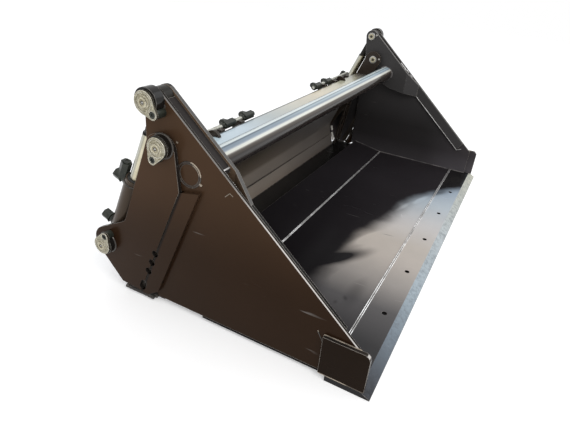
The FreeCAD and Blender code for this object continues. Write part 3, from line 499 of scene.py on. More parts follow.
def outer_side_colour(tree, shade):
    """Brown of the outer faces with painted light: darker near the ground, lighter higher up and towards the rear."""
    x, y, z = axes(tree, "Object")
    low = (0.54 * shade, 0.455 * shade, 0.365 * shade)
    high = (1.66 * shade, 1.62 * shade, 1.48 * shade)
    rise = mix_colour(tree, smooth(tree, z, 0.20, 0.60), low, high)
    outer = tint(tree, settings().paint.side_colour, rise)
    rear = times(tree, smooth(tree, y, 0.05, 0.30), 0.35)
    return mix_colour(tree, rear, outer, tint(tree, outer, (1.6, 1.6, 1.6)))


def inner_side_colour(tree):
    """Painted shade on the inner faces: near black, with painted light near the floor, near the top and at the front.
    """
    x, y, z = axes(tree, "Object")
    inner = ramp_colour(tree, z, ((0.03, (0.056, 0.052, 0.056)), (0.12, (0.030, 0.0275, 0.029)),
                                  (0.22, (0.027, 0.0255, 0.026)), (0.34, (0.045, 0.043, 0.044)),
                                  (0.50, (0.060, 0.058, 0.058))))
    ahead = mix_colour(tree, smooth(tree, y, -0.16, -0.36), (1, 1, 1), (1.7, 1.7, 1.75))
    return tint(tree, inner, ahead)


def side_paint(name, shade=1.0, edge=0.8, quiet_line=False, gap_shadow=False, plain_rim=False):
    """Gloss paint of the side plates, lit and shaded by colour: brown painted light on the outward faces, near black
    painted shade inside.
    """
    material, tree, shader = start_material(name, roughness=0.3, specular=0.10, sheen=(0.9, 0.62, 0.42))
    facing = use_group(tree, "Facing")
    outer = outer_side_colour(tree, shade)
    if gap_shadow:
        outer = mix_colour(tree, smooth(tree, ahead_of_closing_line(tree), 0.013, 0.004), outer,
                           (0.004, 0.003, 0.0025))
    shaded = mix_colour(tree, facing["Outward"], inner_side_colour(tree), outer)
    rim = outer if plain_rim else mix_colour(tree, facing["Rim"], shaded, rim_colour(tree))
    if quiet_line:
        edge = quiet_closing_line(tree, edge)
    finish_paint(tree, shader, rim, edge, 0.24, keep=0.3)
    return material


def quiet_closing_line(tree, edge):
    """Painted edge highlight that fades out along the closing line, which lies in shadow."""
    x, y, z = axes(tree, "Object")
    above_or_ahead = larger(tree, smooth(tree, z, 0.36, 0.46), smooth(tree, y, 0.02, -0.06))
    kept = larger(tree, above_or_ahead, smooth(tree, y, 0.33, 0.37))
    return times(tree, larger(tree, kept, 0.12), edge)


def arm_paint(name, rim):
    """Gloss paint of the inner arm plates and edge bars, lit and shaded by colour: brown painted light outside, dark
    grey painted shade inside.
    """
    material, tree, shader = start_material(name, roughness=0.3, specular=0.06)
    facing = use_group(tree, "Facing")
    shaded = mix_colour(tree, facing["Outward"], (0.058, 0.056, 0.056), (0.16, 0.108, 0.070))
    # The sloping rim takes the given colour, the other rims a dark painted shade
    edges = mix_colour(tree, sloping_face(tree), (0.024, 0.021, 0.019), rim)
    finish_paint(tree, shader, mix_colour(tree, facing["Rim"], shaded, edges), 0.9, 0.3, keep=0.3)
    return material


def dark_paint(name, colour, specular=0.18, rough=0.26, edge=0.4):
    """Near black gloss paint."""
    material, tree, shader = start_material(name, roughness=rough, specular=specular)
    tone = add(tree, "RGB").outputs[0]
    tone.default_value = solid(colour)
    finish_paint(tree, shader, tone, edge, rough)
    return material


def scaled(colour, factor):
    return [value * factor for value in colour]


def brown_paint(name, colour, specular=0.3, rough=0.24, edge=0.35):
    """Brown gloss paint of the barrels, darker on the side away from the light."""
    material, tree, shader = start_material(name, roughness=rough, specular=specular, sheen=(1.0, 0.8, 0.62))
    lit = smooth(tree, axes(tree, "Normal")[2], -0.4, 0.8)
    finish_paint(tree, shader, mix_colour(tree, lit, scaled(colour, 0.7), scaled(colour, 1.3)), edge, rough)
    return material


def moldboard_paint():
    """Bowl paint with painted light: warm on the lower section and lighter high up towards the far end, with a dark
    line at the wear strip's top.
    """
    material, tree, shader = start_material("gloss_paint_moldboard", roughness=0.3, specular=0.12)
    x, y, z = axes(tree, "Object")
    height = times(tree, z, 2.0)
    near = ramp_colour(tree, height, (
        (0.03, (0.27, 0.225, 0.185)), (0.165, (0.25, 0.215, 0.180)), (0.172, (0.05, 0.042, 0.034)),
        (0.180, (0.19, 0.165, 0.140)), (0.27, (0.21, 0.180, 0.150)), (0.30, (0.15, 0.122, 0.095)),
        (0.42, (0.100, 0.080, 0.058)), (0.54, (0.042, 0.036, 0.028)), (0.70, (0.016, 0.0155, 0.012)),
        (0.92, (0.012, 0.0125, 0.0105))))
    distant = ramp_colour(tree, height, (
        (0.03, (0.15, 0.130, 0.115)), (0.27, (0.130, 0.115, 0.102)), (0.40, (0.110, 0.102, 0.098)),
        (0.75, (0.150, 0.148, 0.152)), (0.92, (0.060, 0.060, 0.062))))
    face = mix_colour(tree, smooth(tree, x, -0.30, 0.72), near, distant)
    back = smooth(tree, axes(tree, "Normal")[1], -0.1, 0.3)
    finish_paint(tree, shader, mix_colour(tree, back, face, settings().paint.bowl_colour), 0.4, 0.30)
    return material


def floor_paint():
    """Near black floor with a painted reflection of the open sky on its front part."""
    material, tree, shader = start_material("gloss_paint_floor", roughness=0.24, specular=0.05)
    film = use_group(tree, "Painted sky reflection")
    # Painted light: the floor's black is lighter towards the left, far side
    base = mix_colour(tree, along_x(tree), (0.0030, 0.0025, 0.0030), (0.026, 0.023, 0.026))
    colour = mix_colour(tree, film["Mask"], base, film["Colour"])
    finish_paint(tree, shader, colour, 0.5, 0.24, wave=0.05, dust=0.003)
    return material


def beam_paint():
    """Bowl paint whose upper face carries a painted reflection of the open sky, cool to warm, crossed by a dark line
    and darker along its rear edge.
    """
    material, tree, shader = start_material("gloss_paint_beam", roughness=0.2, specular=0.3)
    dark_line_y, rear_start, rear_end = 0.2085, 0.2655, 0.2685
    y = axes(tree, "Object")[1]
    up = smooth(tree, axes(tree, "Normal")[2], 0.75, 0.95)
    # Painted reflection of the sky on the upper face, blue at the right and warm to the left
    sheen = ramp_colour(tree, along_x(tree), (
        (0.08, (0.50, 0.63, 0.70)), (0.26, (0.54, 0.65, 0.73)), (0.36, (0.44, 0.50, 0.51)),
        (0.47, (0.57, 0.57, 0.50)), (0.62, (0.69, 0.62, 0.47)), (0.80, (0.49, 0.49, 0.37)),
        (0.88, (0.30, 0.29, 0.24)), (0.93, (0.10, 0.09, 0.08))))
    marks = use_group(tree, "Handling marks", Dust_scale=9.0, Scuff_scale=40.0)
    streaky = mix_colour(tree, times(tree, marks["Scuff"], 0.35), sheen, (0.24, 0.25, 0.25))
    line = smooth(tree, absolute(tree, minus(tree, y, dark_line_y)), 0.0042, 0.0016)
    lined = mix_colour(tree, times(tree, line, 0.7), streaky, (0.06, 0.065, 0.06))
    rear = times(tree, smooth(tree, y, rear_start, rear_end), 0.8)
    topped = mix_colour(tree, rear, lined, (0.035, 0.035, 0.030))
    colour = mix_colour(tree, up, settings().paint.bowl_colour, topped)
    finish_paint(tree, shader, colour, 0.35, 0.18, dust=0.0)
    return material


def turn_about(tree, centre):
    """Angle of a point about a line along X, from +Y towards +Z, with half a turn either way as 0 to 1."""
    x, y, z = axes(tree, "Object")
    turn = math_node(tree, "ARCTAN2", minus(tree, z, centre[1]), minus(tree, y, centre[0]))
    return add(tree, "MapRange", {0: turn, 1: -math.pi, 2: math.pi, 3: 0.0, 4: 1.0}).outputs[0]


# Painted reflections of sky and ground round the cross tube's section, by degrees from +Y towards +Z
TUBE_REFLECTION_BANDS = (
    (-176, (0.024, 0.019, 0.017)), (-60, (0.018, 0.015, 0.014)), (30, (0.045, 0.045, 0.040)),
    (62, (0.38, 0.45, 0.48)), (80, (0.52, 0.62, 0.64)), (83, (0.72, 0.80, 0.80)), (92, (0.72, 0.80, 0.80)),
    (95, (0.42, 0.50, 0.55)), (98, (0.13, 0.17, 0.21)), (104, (0.13, 0.17, 0.21)), (107, (0.23, 0.29, 0.35)),
    (119, (0.25, 0.31, 0.38)), (124, (0.34, 0.38, 0.43)), (127, (0.50, 0.54, 0.55)), (130, (0.68, 0.71, 0.66)),
    (140, (0.70, 0.71, 0.64)), (143, (0.30, 0.28, 0.25)), (147, (0.095, 0.082, 0.070)),
    (158, (0.060, 0.050, 0.043)), (164, (0.028, 0.024, 0.021)))


def tube_paint():
    """Mirror gloss of the cross tube, with painted reflections of sky and ground banded round its section."""
    material, tree, shader = start_material("gloss_tube", roughness=0.16, specular=0.25)
    drift = times_plus(tree, noise(tree, texture_place(tree), 2.3, 2.0), 0.010, turn_about(tree, TUBE))
    bands = ramp_colour(tree, minus(tree, drift, 0.005),
                        tuple(((degrees + 180) / 360, colour) for degrees, colour in TUBE_REFLECTION_BANDS))
    # Painted highlight: a pale band near the top, stronger towards the far end
    far = smooth(tree, axes(tree, "Object")[0], -0.65, 0.1)
    band = smooth(tree, absolute(tree, minus(tree, drift, 0.806)), 0.035, 0.004)
    lifted = mix_colour(tree, times(tree, times(tree, band, far), 0.75), bands, (0.50, 0.62, 0.66))
    # The outward end faces take the side plates' brown, with its painted warm light
    brown = scaled(settings().paint.side_colour, 1.2)
    colour = mix_colour(tree, use_group(tree, "Facing")["Outward"], lifted, brown)
    finish_paint(tree, shader, colour, 0.3, 0.14, wave=0.03, dust=0.0)
    return material


def edge_steel():
    """Painted edge bar whose bevel carries a painted blue-grey reflection of the sky, and whose top carries the floor's
    painted sky reflection.
    """
    material, tree, shader = start_material("painted_wear_steel", roughness=0.24, specular=0.2)
    normal = axes(tree, "Normal")
    slope = times(tree, smooth(tree, normal[1], -0.2, -0.4), smooth(tree, normal[2], 0.1, 0.4))
    film = use_group(tree, "Painted sky reflection")
    top = mix_colour(tree, film["Mask"], (0.0085, 0.0080, 0.0085), film["Colour"])
    # Painted reflection of the sky along the bevel: dark at the right end, blue-grey, then warmer to the left
    bevel = ramp_colour(tree, along_x(tree), (
        (0.0, (0.020, 0.020, 0.022)), (0.05, (0.060, 0.070, 0.085)), (0.14, (0.15, 0.19, 0.23)),
        (0.3, (0.34, 0.41, 0.46)), (0.55, (0.47, 0.52, 0.54)), (0.85, (0.45, 0.47, 0.42)), (1.0, (0.52, 0.52, 0.43))))
    speckle = smooth(tree, noise(tree, texture_place(tree), 60.0, 5.0, 0.7), 0.40, 0.68)
    bare = mix_colour(tree, times(tree, speckle, 0.45), bevel, (0.09, 0.10, 0.12))
    finish_paint(tree, shader, mix_colour(tree, slope, top, bare), 0.55, 0.24)
    return material


def pin_radius(tree):
    """Distance from the nearest pin's axis."""
    place = texture_place(tree)
    nearest = None
    for centre in (HINGE, ROD_PIN, BASE_PIN):
        shifted = add(tree, "Mapping", {"Vector": place, "Location": (0.0, -centre[0], -centre[1])},
                      vector_type="POINT").outputs[0]
        flat = add(tree, "VectorMath", {0: shifted, 1: (0.0, 1.0, 1.0)}, operation="MULTIPLY").outputs[0]
        length = length_of(tree, flat)
        nearest = length if nearest is None else math_node(tree, "MINIMUM", nearest, length)
    return nearest


def pin_plate():
    """Zinc-plated pins and flags with turned rings painted as bright and dark bands, a dark band round the nipple,
    painted glints, a dark rim and a painted highlight along the edges.
    """
    material, tree, shader = start_material("zinc_plate", 0.45, 0.3)
    ramp_reach = 0.036
    place = texture_place(tree)
    warp = times_plus(tree, noise(tree, place, 90.0, 3.0), 0.0024, pin_radius(tree))
    rings = ramp_colour(tree, math_node(tree, "DIVIDE", warp, ramp_reach), (
        (0.14, (0.09, 0.065, 0.025)), (0.24, (0.11, 0.080, 0.030)), (0.28, (0.46, 0.42, 0.29)),
        (0.39, (0.62, 0.58, 0.43)), (0.42, (0.16, 0.130, 0.060)), (0.46, (0.13, 0.105, 0.050)),
        (0.50, (0.50, 0.46, 0.33)), (0.56, (0.30, 0.27, 0.18)), (0.62, (0.44, 0.41, 0.29)),
        (0.67, (0.14, 0.12, 0.065)), (0.72, (0.40, 0.37, 0.27)), (0.90, (0.33, 0.31, 0.23))))
    turned = use_group(tree, "Turned metal", Stain_scale=110.0)
    # Painted glints: bright flecks over the zinc
    glint_spots = smooth(tree, noise(tree, place, 260.0, 3.0), 0.50, 0.66)
    stained = mix_colour(tree, times(tree, turned["Stain"], 0.75), rings, (0.17, 0.145, 0.08))
    glinted = mix_colour(tree, times(tree, glint_spots, 0.60), stained, (0.72, 0.67, 0.50))
    rimmed = mix_colour(tree, use_group(tree, "Facing")["Rim"], glinted, (0.075, 0.065, 0.045))
    # Painted highlight along the flags' edges
    rubbed, normal = paint_edge_highlight(tree, rimmed, (0.95, 0.92, 0.82), 0.95, Width=0.0030, Break_scale=40.0, Keep=1.0)
    roughness = times_plus(tree, turned["Stain"], 0.15, 0.24)
    link_surface(tree, shader, rubbed, roughness, turned["Height"], 0.0010, normal)
    return material


def plated(name, bright, stained, metallic=0.9):
    """Plated or machined steel with turning lines, stains and a painted highlight along the edges."""
    rough = 0.3
    material, tree, shader = start_material(name, metallic, rough)
    turned = use_group(tree, "Turned metal", Line_scale=420.0)
    colour = mix_colour(tree, turned["Stain"], bright, stained)
    shine = [min(1.0, value) for value in scaled(bright, 1.5)]
    rubbed, normal = paint_edge_highlight(tree, colour, shine, 0.5, Width=0.0012, Break_scale=60.0, Keep=0.4)
    roughness = times_plus(tree, turned["Stain"], 0.14, rough)
    link_surface(tree, shader, rubbed, roughness, turned["Height"], 0.0006, normal)
    return material


def rod_chrome():
    """Hard chrome rod with painted reflections of sky and ground in vertical stripes, whose shank and eye are painted.
    """
    material, tree, shader = start_material("hard_chrome", 0.9, 0.2, specular=0.12)
    # Painted reflections, banded by which way the surface faces across a fixed side direction
    stripe_axis = (-0.433, 0.901, 0.0)
    painted = smooth(tree, axes(tree, "Object")[2], ROD_SHANK_Z - 0.001, ROD_SHANK_Z + 0.001)
    turned = use_group(tree, "Turned metal", Line_scale=300.0)
    side = dot(tree, add(tree, "TexCoord").outputs["Normal"], stripe_axis)
    stripes = ramp_colour(tree, times_plus(tree, side, 0.5, 0.5), (
        (0.30, (0.30, 0.24, 0.15)), (0.42, (0.20, 0.155, 0.090)), (0.50, (0.64, 0.58, 0.42)),
        (0.66, (0.66, 0.62, 0.47)), (0.74, (0.36, 0.35, 0.29)), (0.82, (0.52, 0.52, 0.46)), (0.94, (0.40, 0.41, 0.37))))
    chrome = mix_colour(tree, times(tree, turned["Stain"], 0.35), stripes, (0.34, 0.31, 0.22))
    tree.links.new(mix_value(tree, painted, 0.9, 0.0), shader.inputs["Metallic"])
    link_surface(tree, shader, mix_colour(tree, painted, chrome, (0.022, 0.020, 0.017)),
                 times_plus(tree, turned["Stain"], 0.1, 0.2), turned["Height"], 0.0002)
    return material


def black_oxide():
    """Oily black finish of bolts and hydraulic fittings, with a painted highlight along the edges."""
    material, tree, shader = start_material("black_fitting", 0.1, 0.34, specular=0.35)
    turned = use_group(tree, "Turned metal", Line_scale=260.0, Stain_scale=70.0)
    colour = mix_colour(tree, turned["Stain"], (0.016, 0.019, 0.015), (0.040, 0.044, 0.034))
    rubbed, normal = paint_edge_highlight(tree, colour, (0.20, 0.21, 0.17), 0.4, Width=0.0014, Break_scale=50.0, Keep=0.6)
    roughness = times_plus(tree, turned["Stain"], 0.2, 0.28)
    link_surface(tree, shader, rubbed, roughness, turned["Height"], 0.0004, normal)
    return material


def weld_metal(name, bright, dull, metallic=0.7):
    """Rippled weld metal with brighter and duller stretches."""
    material, tree, shader = start_material(name, metallic, 0.35, coat=0.2)
    place = texture_place(tree)
    patch = smooth(tree, noise(tree, place, 11.0, 3.0, 0.6), 0.40, 0.60)
    grain = noise(tree, place, 160.0, 2.0)
    speckle = mix_colour(tree, grain, (0.35, 0.35, 0.35), (1.6, 1.6, 1.6))
    speckled = tint(tree, mix_colour(tree, patch, bright, dull), speckle, 0.4)
    link_surface(tree, shader, speckled, times_plus(tree, patch, 0.25, 0.22), grain, 0.0005)
    return material


def rubber(name, colour):
    """Moulded black cap or seal with a faint grain."""
    material, tree, shader = start_material(name, 0.0, 0.55)
    grain = noise(tree, texture_place(tree), 300.0, 3.0, 0.6)
    tone = mix_colour(tree, grain, scaled(colour, 0.6), scaled(colour, 1.5))
    link_surface(tree, shader, tone, times_plus(tree, grain, 0.2, 0.45), grain, 0.0003)
    return material


def build_materials():
    """All finishes by name."""
    for build in (build_edge_highlight, build_paint_surface, build_handling, build_facing, build_painted_sky_reflection,
                  build_turned_metal):
        build()
    return {
        "side": side_paint("gloss_paint_sides"),
        "closing": side_paint("gloss_paint_closing_side", quiet_line=True),
        "strip": side_paint("gloss_paint_strip", 0.95, 0.05, gap_shadow=True, plain_rim=True),
        "corner": side_paint("gloss_paint_corner", 0.34, 0.95),
        # The arm's sloping rim carries a painted highlight; the bar's is near black
        "arm": arm_paint("gloss_paint_arm", (0.115, 0.112, 0.108)),
        "bar": arm_paint("gloss_paint_bar", (0.008, 0.008, 0.0075)),
        "infill": dark_paint("gloss_paint_infill", (0.032, 0.028, 0.027), 0.05, 0.34, 0.9),
        "bowl": dark_paint("gloss_paint_bowl", settings().paint.bowl_colour),
        "rear": dark_paint("gloss_paint_rear", (0.030, 0.0215, 0.0160), 0.2),
        "boss": dark_paint("gloss_paint_boss", (0.011, 0.010, 0.009), 0.22, 0.14, 0.5),
        "barrel": brown_paint("gloss_paint_barrel", (0.045, 0.031, 0.021)),
        "moldboard": moldboard_paint(),
        "floor": floor_paint(),
        "beam": beam_paint(),
        "tube": tube_paint(),
        "edge": edge_steel(),
        "zinc": pin_plate(),
        "line": plated("zinc_line", (0.56, 0.56, 0.50), (0.36, 0.35, 0.30), 0.6),
        "chrome": rod_chrome(),
        "machined": plated("machined_steel", (0.50, 0.49, 0.46), (0.32, 0.31, 0.28)),
        "fitting": black_oxide(),
        "weld": weld_metal("weld_bright", (0.86, 0.85, 0.84), (0.42, 0.41, 0.40)),
        # Near white stitch welds: a painted highlight, bright though little light reaches them
        "stitch_weld": weld_metal("weld_stitch", (0.95, 0.93, 0.88), (0.80, 0.77, 0.71), 0.0),
        "tan_weld": weld_metal("weld_tan", (0.44, 0.37, 0.29), (0.085, 0.064, 0.046), 0.3),
        "painted_weld": weld_metal("weld_painted", (0.060, 0.050, 0.040), (0.020, 0.016, 0.013), 0.1),
        "grey_weld": weld_metal("weld_grey", (0.20, 0.185, 0.18), (0.060, 0.055, 0.055), 0.2),
        "rubber": rubber("cap_rubber", (0.016, 0.016, 0.015)),
    }


FINISH = {}


# Points and lines on the frame

def on_plane(x, point):
    """Point in space from a station across the bucket and a (y, z) pair."""
    return Vector((x, point[0], point[1]))


def polar(centre, radius, degrees):
    angle = math.radians(degrees)
    return (centre[0] + radius * math.cos(angle), centre[1] + radius * math.sin(angle))


def circle(x, centre, radius, start=0.0, end=360.0, steps=40):
    """Points on a circle or arc in a plane across X."""
    return [on_plane(x, polar(centre, radius, start + (end - start) * i / steps)) for i in range(steps + 1)]


def line_at(first, second, z):
    """Point at height z of the line through two (y, z) points."""
    share = (z - first[1]) / (second[1] - first[1])
    return (first[0] + (second[0] - first[0]) * share, z)


def unit(first, second):
    length = math.dist(first, second)
    return ((second[0] - first[0]) / length, (second[1] - first[1]) / length)


def moved(point, direction, distance):
    return (point[0] + direction[0] * distance, point[1] + direction[1] * distance)


def front_slope():
    """Direction of the side plate's sloping front edge, which is tangent to the apex round."""
    reach = math.dist(FRONT_FOOT, ROD_PIN)
    lean = math.asin(APEX_R / reach)
    angle = math.atan2(ROD_PIN[1] - FRONT_FOOT[1], ROD_PIN[0] - FRONT_FOOT[0]) + lean
    return (math.cos(angle), math.sin(angle))


def front_edge(y, inward=0.0):
    """Point of the sloping front edge at a given y, set in from the edge."""
    slope = front_slope()
    start = moved(FRONT_FOOT, (slope[1], -slope[0]), inward)
    return (y, start[1] + (y - start[0]) * slope[1] / slope[0])


def behind_moldboard(z, depth=MOLD_T):
    """Point at height z behind the moldboard's upper face."""
    up = unit(MOLD_BEND, MOLD_TOP)
    back = (up[1], -up[0])
    return line_at(moved(MOLD_TOP, back, depth), moved(MOLD_BEND, back, depth), z)


def closing_point(z):
    """Point at height z of the line where the clam meets the rear body."""
    return (CLOSING_TOP[0] + (CLOSING_TOP[1] - z) * math.tan(CLOSING_LEAN), z)


def mold_face(z):
    """Point at height z on the moldboard's bowl side."""
    if z > MOLD_BEND[1]:
        return line_at(MOLD_TOP, MOLD_BEND, z)
    return line_at(MOLD_BEND, MOLD_FOOT, z)


def cylinder_axis():
    """Unit vectors along a cylinder from its base to the rod pin, and square to it towards the loader."""
    up = unit(BASE_PIN, ROD_PIN)
    return Vector((0, up[0], up[1])), Vector((0, up[1], -up[0]))


def on_cylinder(sign, distance, back=0.0):
    """Point on a cylinder's axis, measured from the base pin and set back from it."""
    along, across_axis = cylinder_axis()
    return Vector((sign * CYLINDER_X, *BASE_PIN)) + along * distance + across_axis * back


# Mesh building blocks

def add_piece(name, mesh_data, finish, body, shade=True):
    """Object from a bmesh, with its finish, riding on a body."""
    mesh = bpy.data.meshes.new(name)
    bmesh.ops.recalc_face_normals(mesh_data, faces=mesh_data.faces)
    mesh_data.to_mesh(mesh)
    mesh_data.free()
    piece = bpy.data.objects.new(name, mesh)
    bpy.context.scene.collection.objects.link(piece)
    mesh.materials.append(FINISH[finish])
    if shade:
        for polygon in mesh.polygons:
            polygon.use_smooth = True
        mesh.set_sharp_from_angle(angle=math.radians(38))
    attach(piece, body)
    return piece


def axes_about(direction):
    """Two unit vectors square to a direction."""
    direction = Vector(direction).normalized()
    helper = Vector((0, 0, 1)) if abs(direction.z) < 0.9 else Vector((0, 1, 0))
    side = direction.cross(helper).normalized()
    return side, direction.cross(side).normalized()


def circle_about(origin, direction, radius, steps=40):
    """Points on a circle round any axis."""
    side, other = axes_about(direction)
    turns = [2 * math.pi * i / steps for i in range(steps)]
    return [Vector(origin) + side * (radius * math.cos(a)) + other * (radius * math.sin(a)) for a in turns]


def join_rings(mesh_data, first, second):
    """Faces between two rings of vertices, or a ring and a point."""
    count = max(len(first), len(second))
    for i in range(count):
        j = (i + 1) % count
        if len(first) == 1:
            mesh_data.faces.new((first[0], second[j], second[i]))
        elif len(second) == 1:
            mesh_data.faces.new((first[i], first[j], second[0]))
        else:
            mesh_data.faces.new((first[i], first[j], second[j], second[i]))


def lathe(mesh_data, origin, direction, profile, steps=32, hollow=False):
    """Turned shape from (distance along, radius) pairs, a closed loop of them where it is hollow."""
    direction = Vector(direction).normalized()
    rings = []
    for distance, radius in profile:
        centre = Vector(origin) + direction * distance
        points = [centre] if radius < 1e-6 else circle_about(centre, direction, radius, steps)
        rings.append([mesh_data.verts.new(point) for point in points])
    following = rings[1:] + rings[:1] if hollow else rings[1:]
    for first, second in zip(rings, following):
        join_rings(mesh_data, first, second)
    if not hollow:
        for ring in (rings[0], rings[-1]):
            if len(ring) > 2:
                mesh_data.faces.new(ring)


def turned_piece(name, finish, body, origin, direction, profile, steps=32, hollow=False):
    """Piece made of one turned shape."""
    mesh_data = bmesh.new()
    lathe(mesh_data, origin, direction, profile, steps, hollow)
    return add_piece(name, mesh_data, finish, body)


def hex_nut(mesh_data, origin, direction, across, length, chamfer=0.12):
    """Hexagon with chamfered ends."""
    small = across / 2 * (1 - chamfer * 0.5)
    large = across / math.sqrt(3)
    cut = across * chamfer * 0.5
    lathe(mesh_data, origin, direction, [(0, small), (cut, large), (length - cut, large), (length, small)], 6)


def resample(points, pitch, closed):
    """Evenly spaced points along a polyline."""
    path = [Vector(point) for point in points]
    if closed:
        path.append(path[0])
    lengths = [(b - a).length for a, b in zip(path, path[1:])]
    total = sum(lengths)
    count = max(3, int(total / pitch))
    result = []
    for i in range(count + (0 if closed else 1)):
        target = total * i / count
        for a, b, length in zip(path, path[1:], lengths):
            if target <= length + 1e-9:
                result.append(a.lerp(b, 0 if length == 0 else min(1, target / length)))
                break
            target -= length
    return result


def bead(mesh_data, points, radius, closed, rng):
    """Weld bead with ripples along a polyline."""
    weld = settings().weld
    path = resample(points, weld.pitch / 2, closed)
    count = len(path)
    rings = []
    for i, point in enumerate(path):
        before = path[i - 1] if i or closed else point
        after = path[(i + 1) % count] if i < count - 1 or closed else point
        size = radius * weld.bead_size * (1 + (weld.ripple if i % 2 else -weld.ripple))
        size *= 1 + rng.uniform(-0.07, 0.07)
        if not closed and i in (0, count - 1):
            size *= 0.55
        rings.append([mesh_data.verts.new(place) for place in circle_about(point, after - before, size, 8)])
    pairs = list(zip(rings, rings[1:]))
    if closed:
        pairs.append((rings[-1], rings[0]))
    for first, second in pairs:
        join_aligned(mesh_data, first, second)
    if not closed:
        mesh_data.faces.new(rings[0])
        mesh_data.faces.new(rings[-1])


def join_aligned(mesh_data, first, second):
    """Join two rings at the turn that keeps their vertices closest."""
    count = len(first)
    best = min(range(count), key=lambda k: (first[0].co - second[k].co).length)
    for i in range(count):
        a = (best + i) % count
        b = (best + i + 1) % count
        mesh_data.faces.new((first[i], first[(i + 1) % count], second[b], second[a]))


# Bead runs are (points, radius, closed)

def run(x, points, size):
    """Open run through (y, z) points in a plane across X."""
    return [on_plane(x, point) for point in points], size, False


def arc(x, centre, radius, size, start, end, steps=40):
    """Open run along an arc in a plane across X."""
    return circle(x, centre, radius, start, end, steps), size, False


def ring(x, centre, radius, size):
    """Closed run round a centre in a plane across X."""
    return circle(x, centre, radius)[:-1], size, True


def across(y, z, half, size):
    """Straight run across the bucket at one (y, z)."""
    return [(-half, y, z), (half, y, z)], size, False


def add_beads(name, body, finish, runs, seed):
    """One piece from several bead runs."""
    rng = random.Random(settings().weld.seed + seed)
    mesh_data = bmesh.new()
    for points, radius, closed in runs:
        bead(mesh_data, points, radius, closed, rng)
    return add_piece(name, mesh_data, finish, body)


# Operators

class BUCKET_OT_finishes(bpy.types.Operator):
    """Give every plate, pin, cylinder and fitting its finish"""
    bl_idname = "four_in_one.finishes"
    bl_label = "Finishes"

    GROUPS = {
        "side": ("clam_side_", "tube_end_caps"),
        "closing": ("rear_outer_plate_",),
        "strip": ("grip_strip_",),
        "corner": ("corner_plate_",),
        "floor": ("floor_plate", "floor_panel"),
        "moldboard": ("moldboard", "moldboard_wear_strip"),
        "bowl": ("rear_blade", "rear_lip_bar"),
        "arm": ("arm_inner_plate_",),
        "bar": ("side_edge_bars",),
        "infill": ("arm_infills",),
        "rear": ("rear_inner_plate_", "side_web_", "attach_plate", "attach_hook", "rear_ribs", "end_gusset_",
                 "line_clamps"),
        "boss": ("rear_pin_bosses", "apex_bosses"),
        "barrel": ("cylinder_barrel_", "cylinder_gland_"),
        "beam": ("top_beam",),
        "tube": ("cross_tube",),
        "edge": ("cutting_edge",),
        "zinc": ("hinge_pin_", "base_pin_", "rod_pin_"),
        "line": ("hydraulic_line_",),
        "chrome": ("piston_rod_",),
        "machined": ("thrust_rings", "hinge_sleeves", "rod_bush_", "piston_"),
        "fitting": ("rear_flag_bolts", "rod_flag_bolts", "cylinder_fittings_", "line_fittings"),
    }

    def execute(self, context):
        FINISH.update(build_materials())
        for name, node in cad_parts.items():
            node.data.materials.clear()
            node.data.materials.append(FINISH[self.finish_of(name)])
            for polygon in node.data.polygons:
                polygon.material_index = 0
        return {"FINISHED"}

    def finish_of(self, name):
        """Finish whose listed name matches the node's longest."""
        found = [(len(start), finish) for finish, starts in self.GROUPS.items() for start in starts
                 if name == start or (start.endswith("_") and name.startswith(start))]
        if not found:
            raise RuntimeError("no finish is named for " + name)
        return max(found)[1]


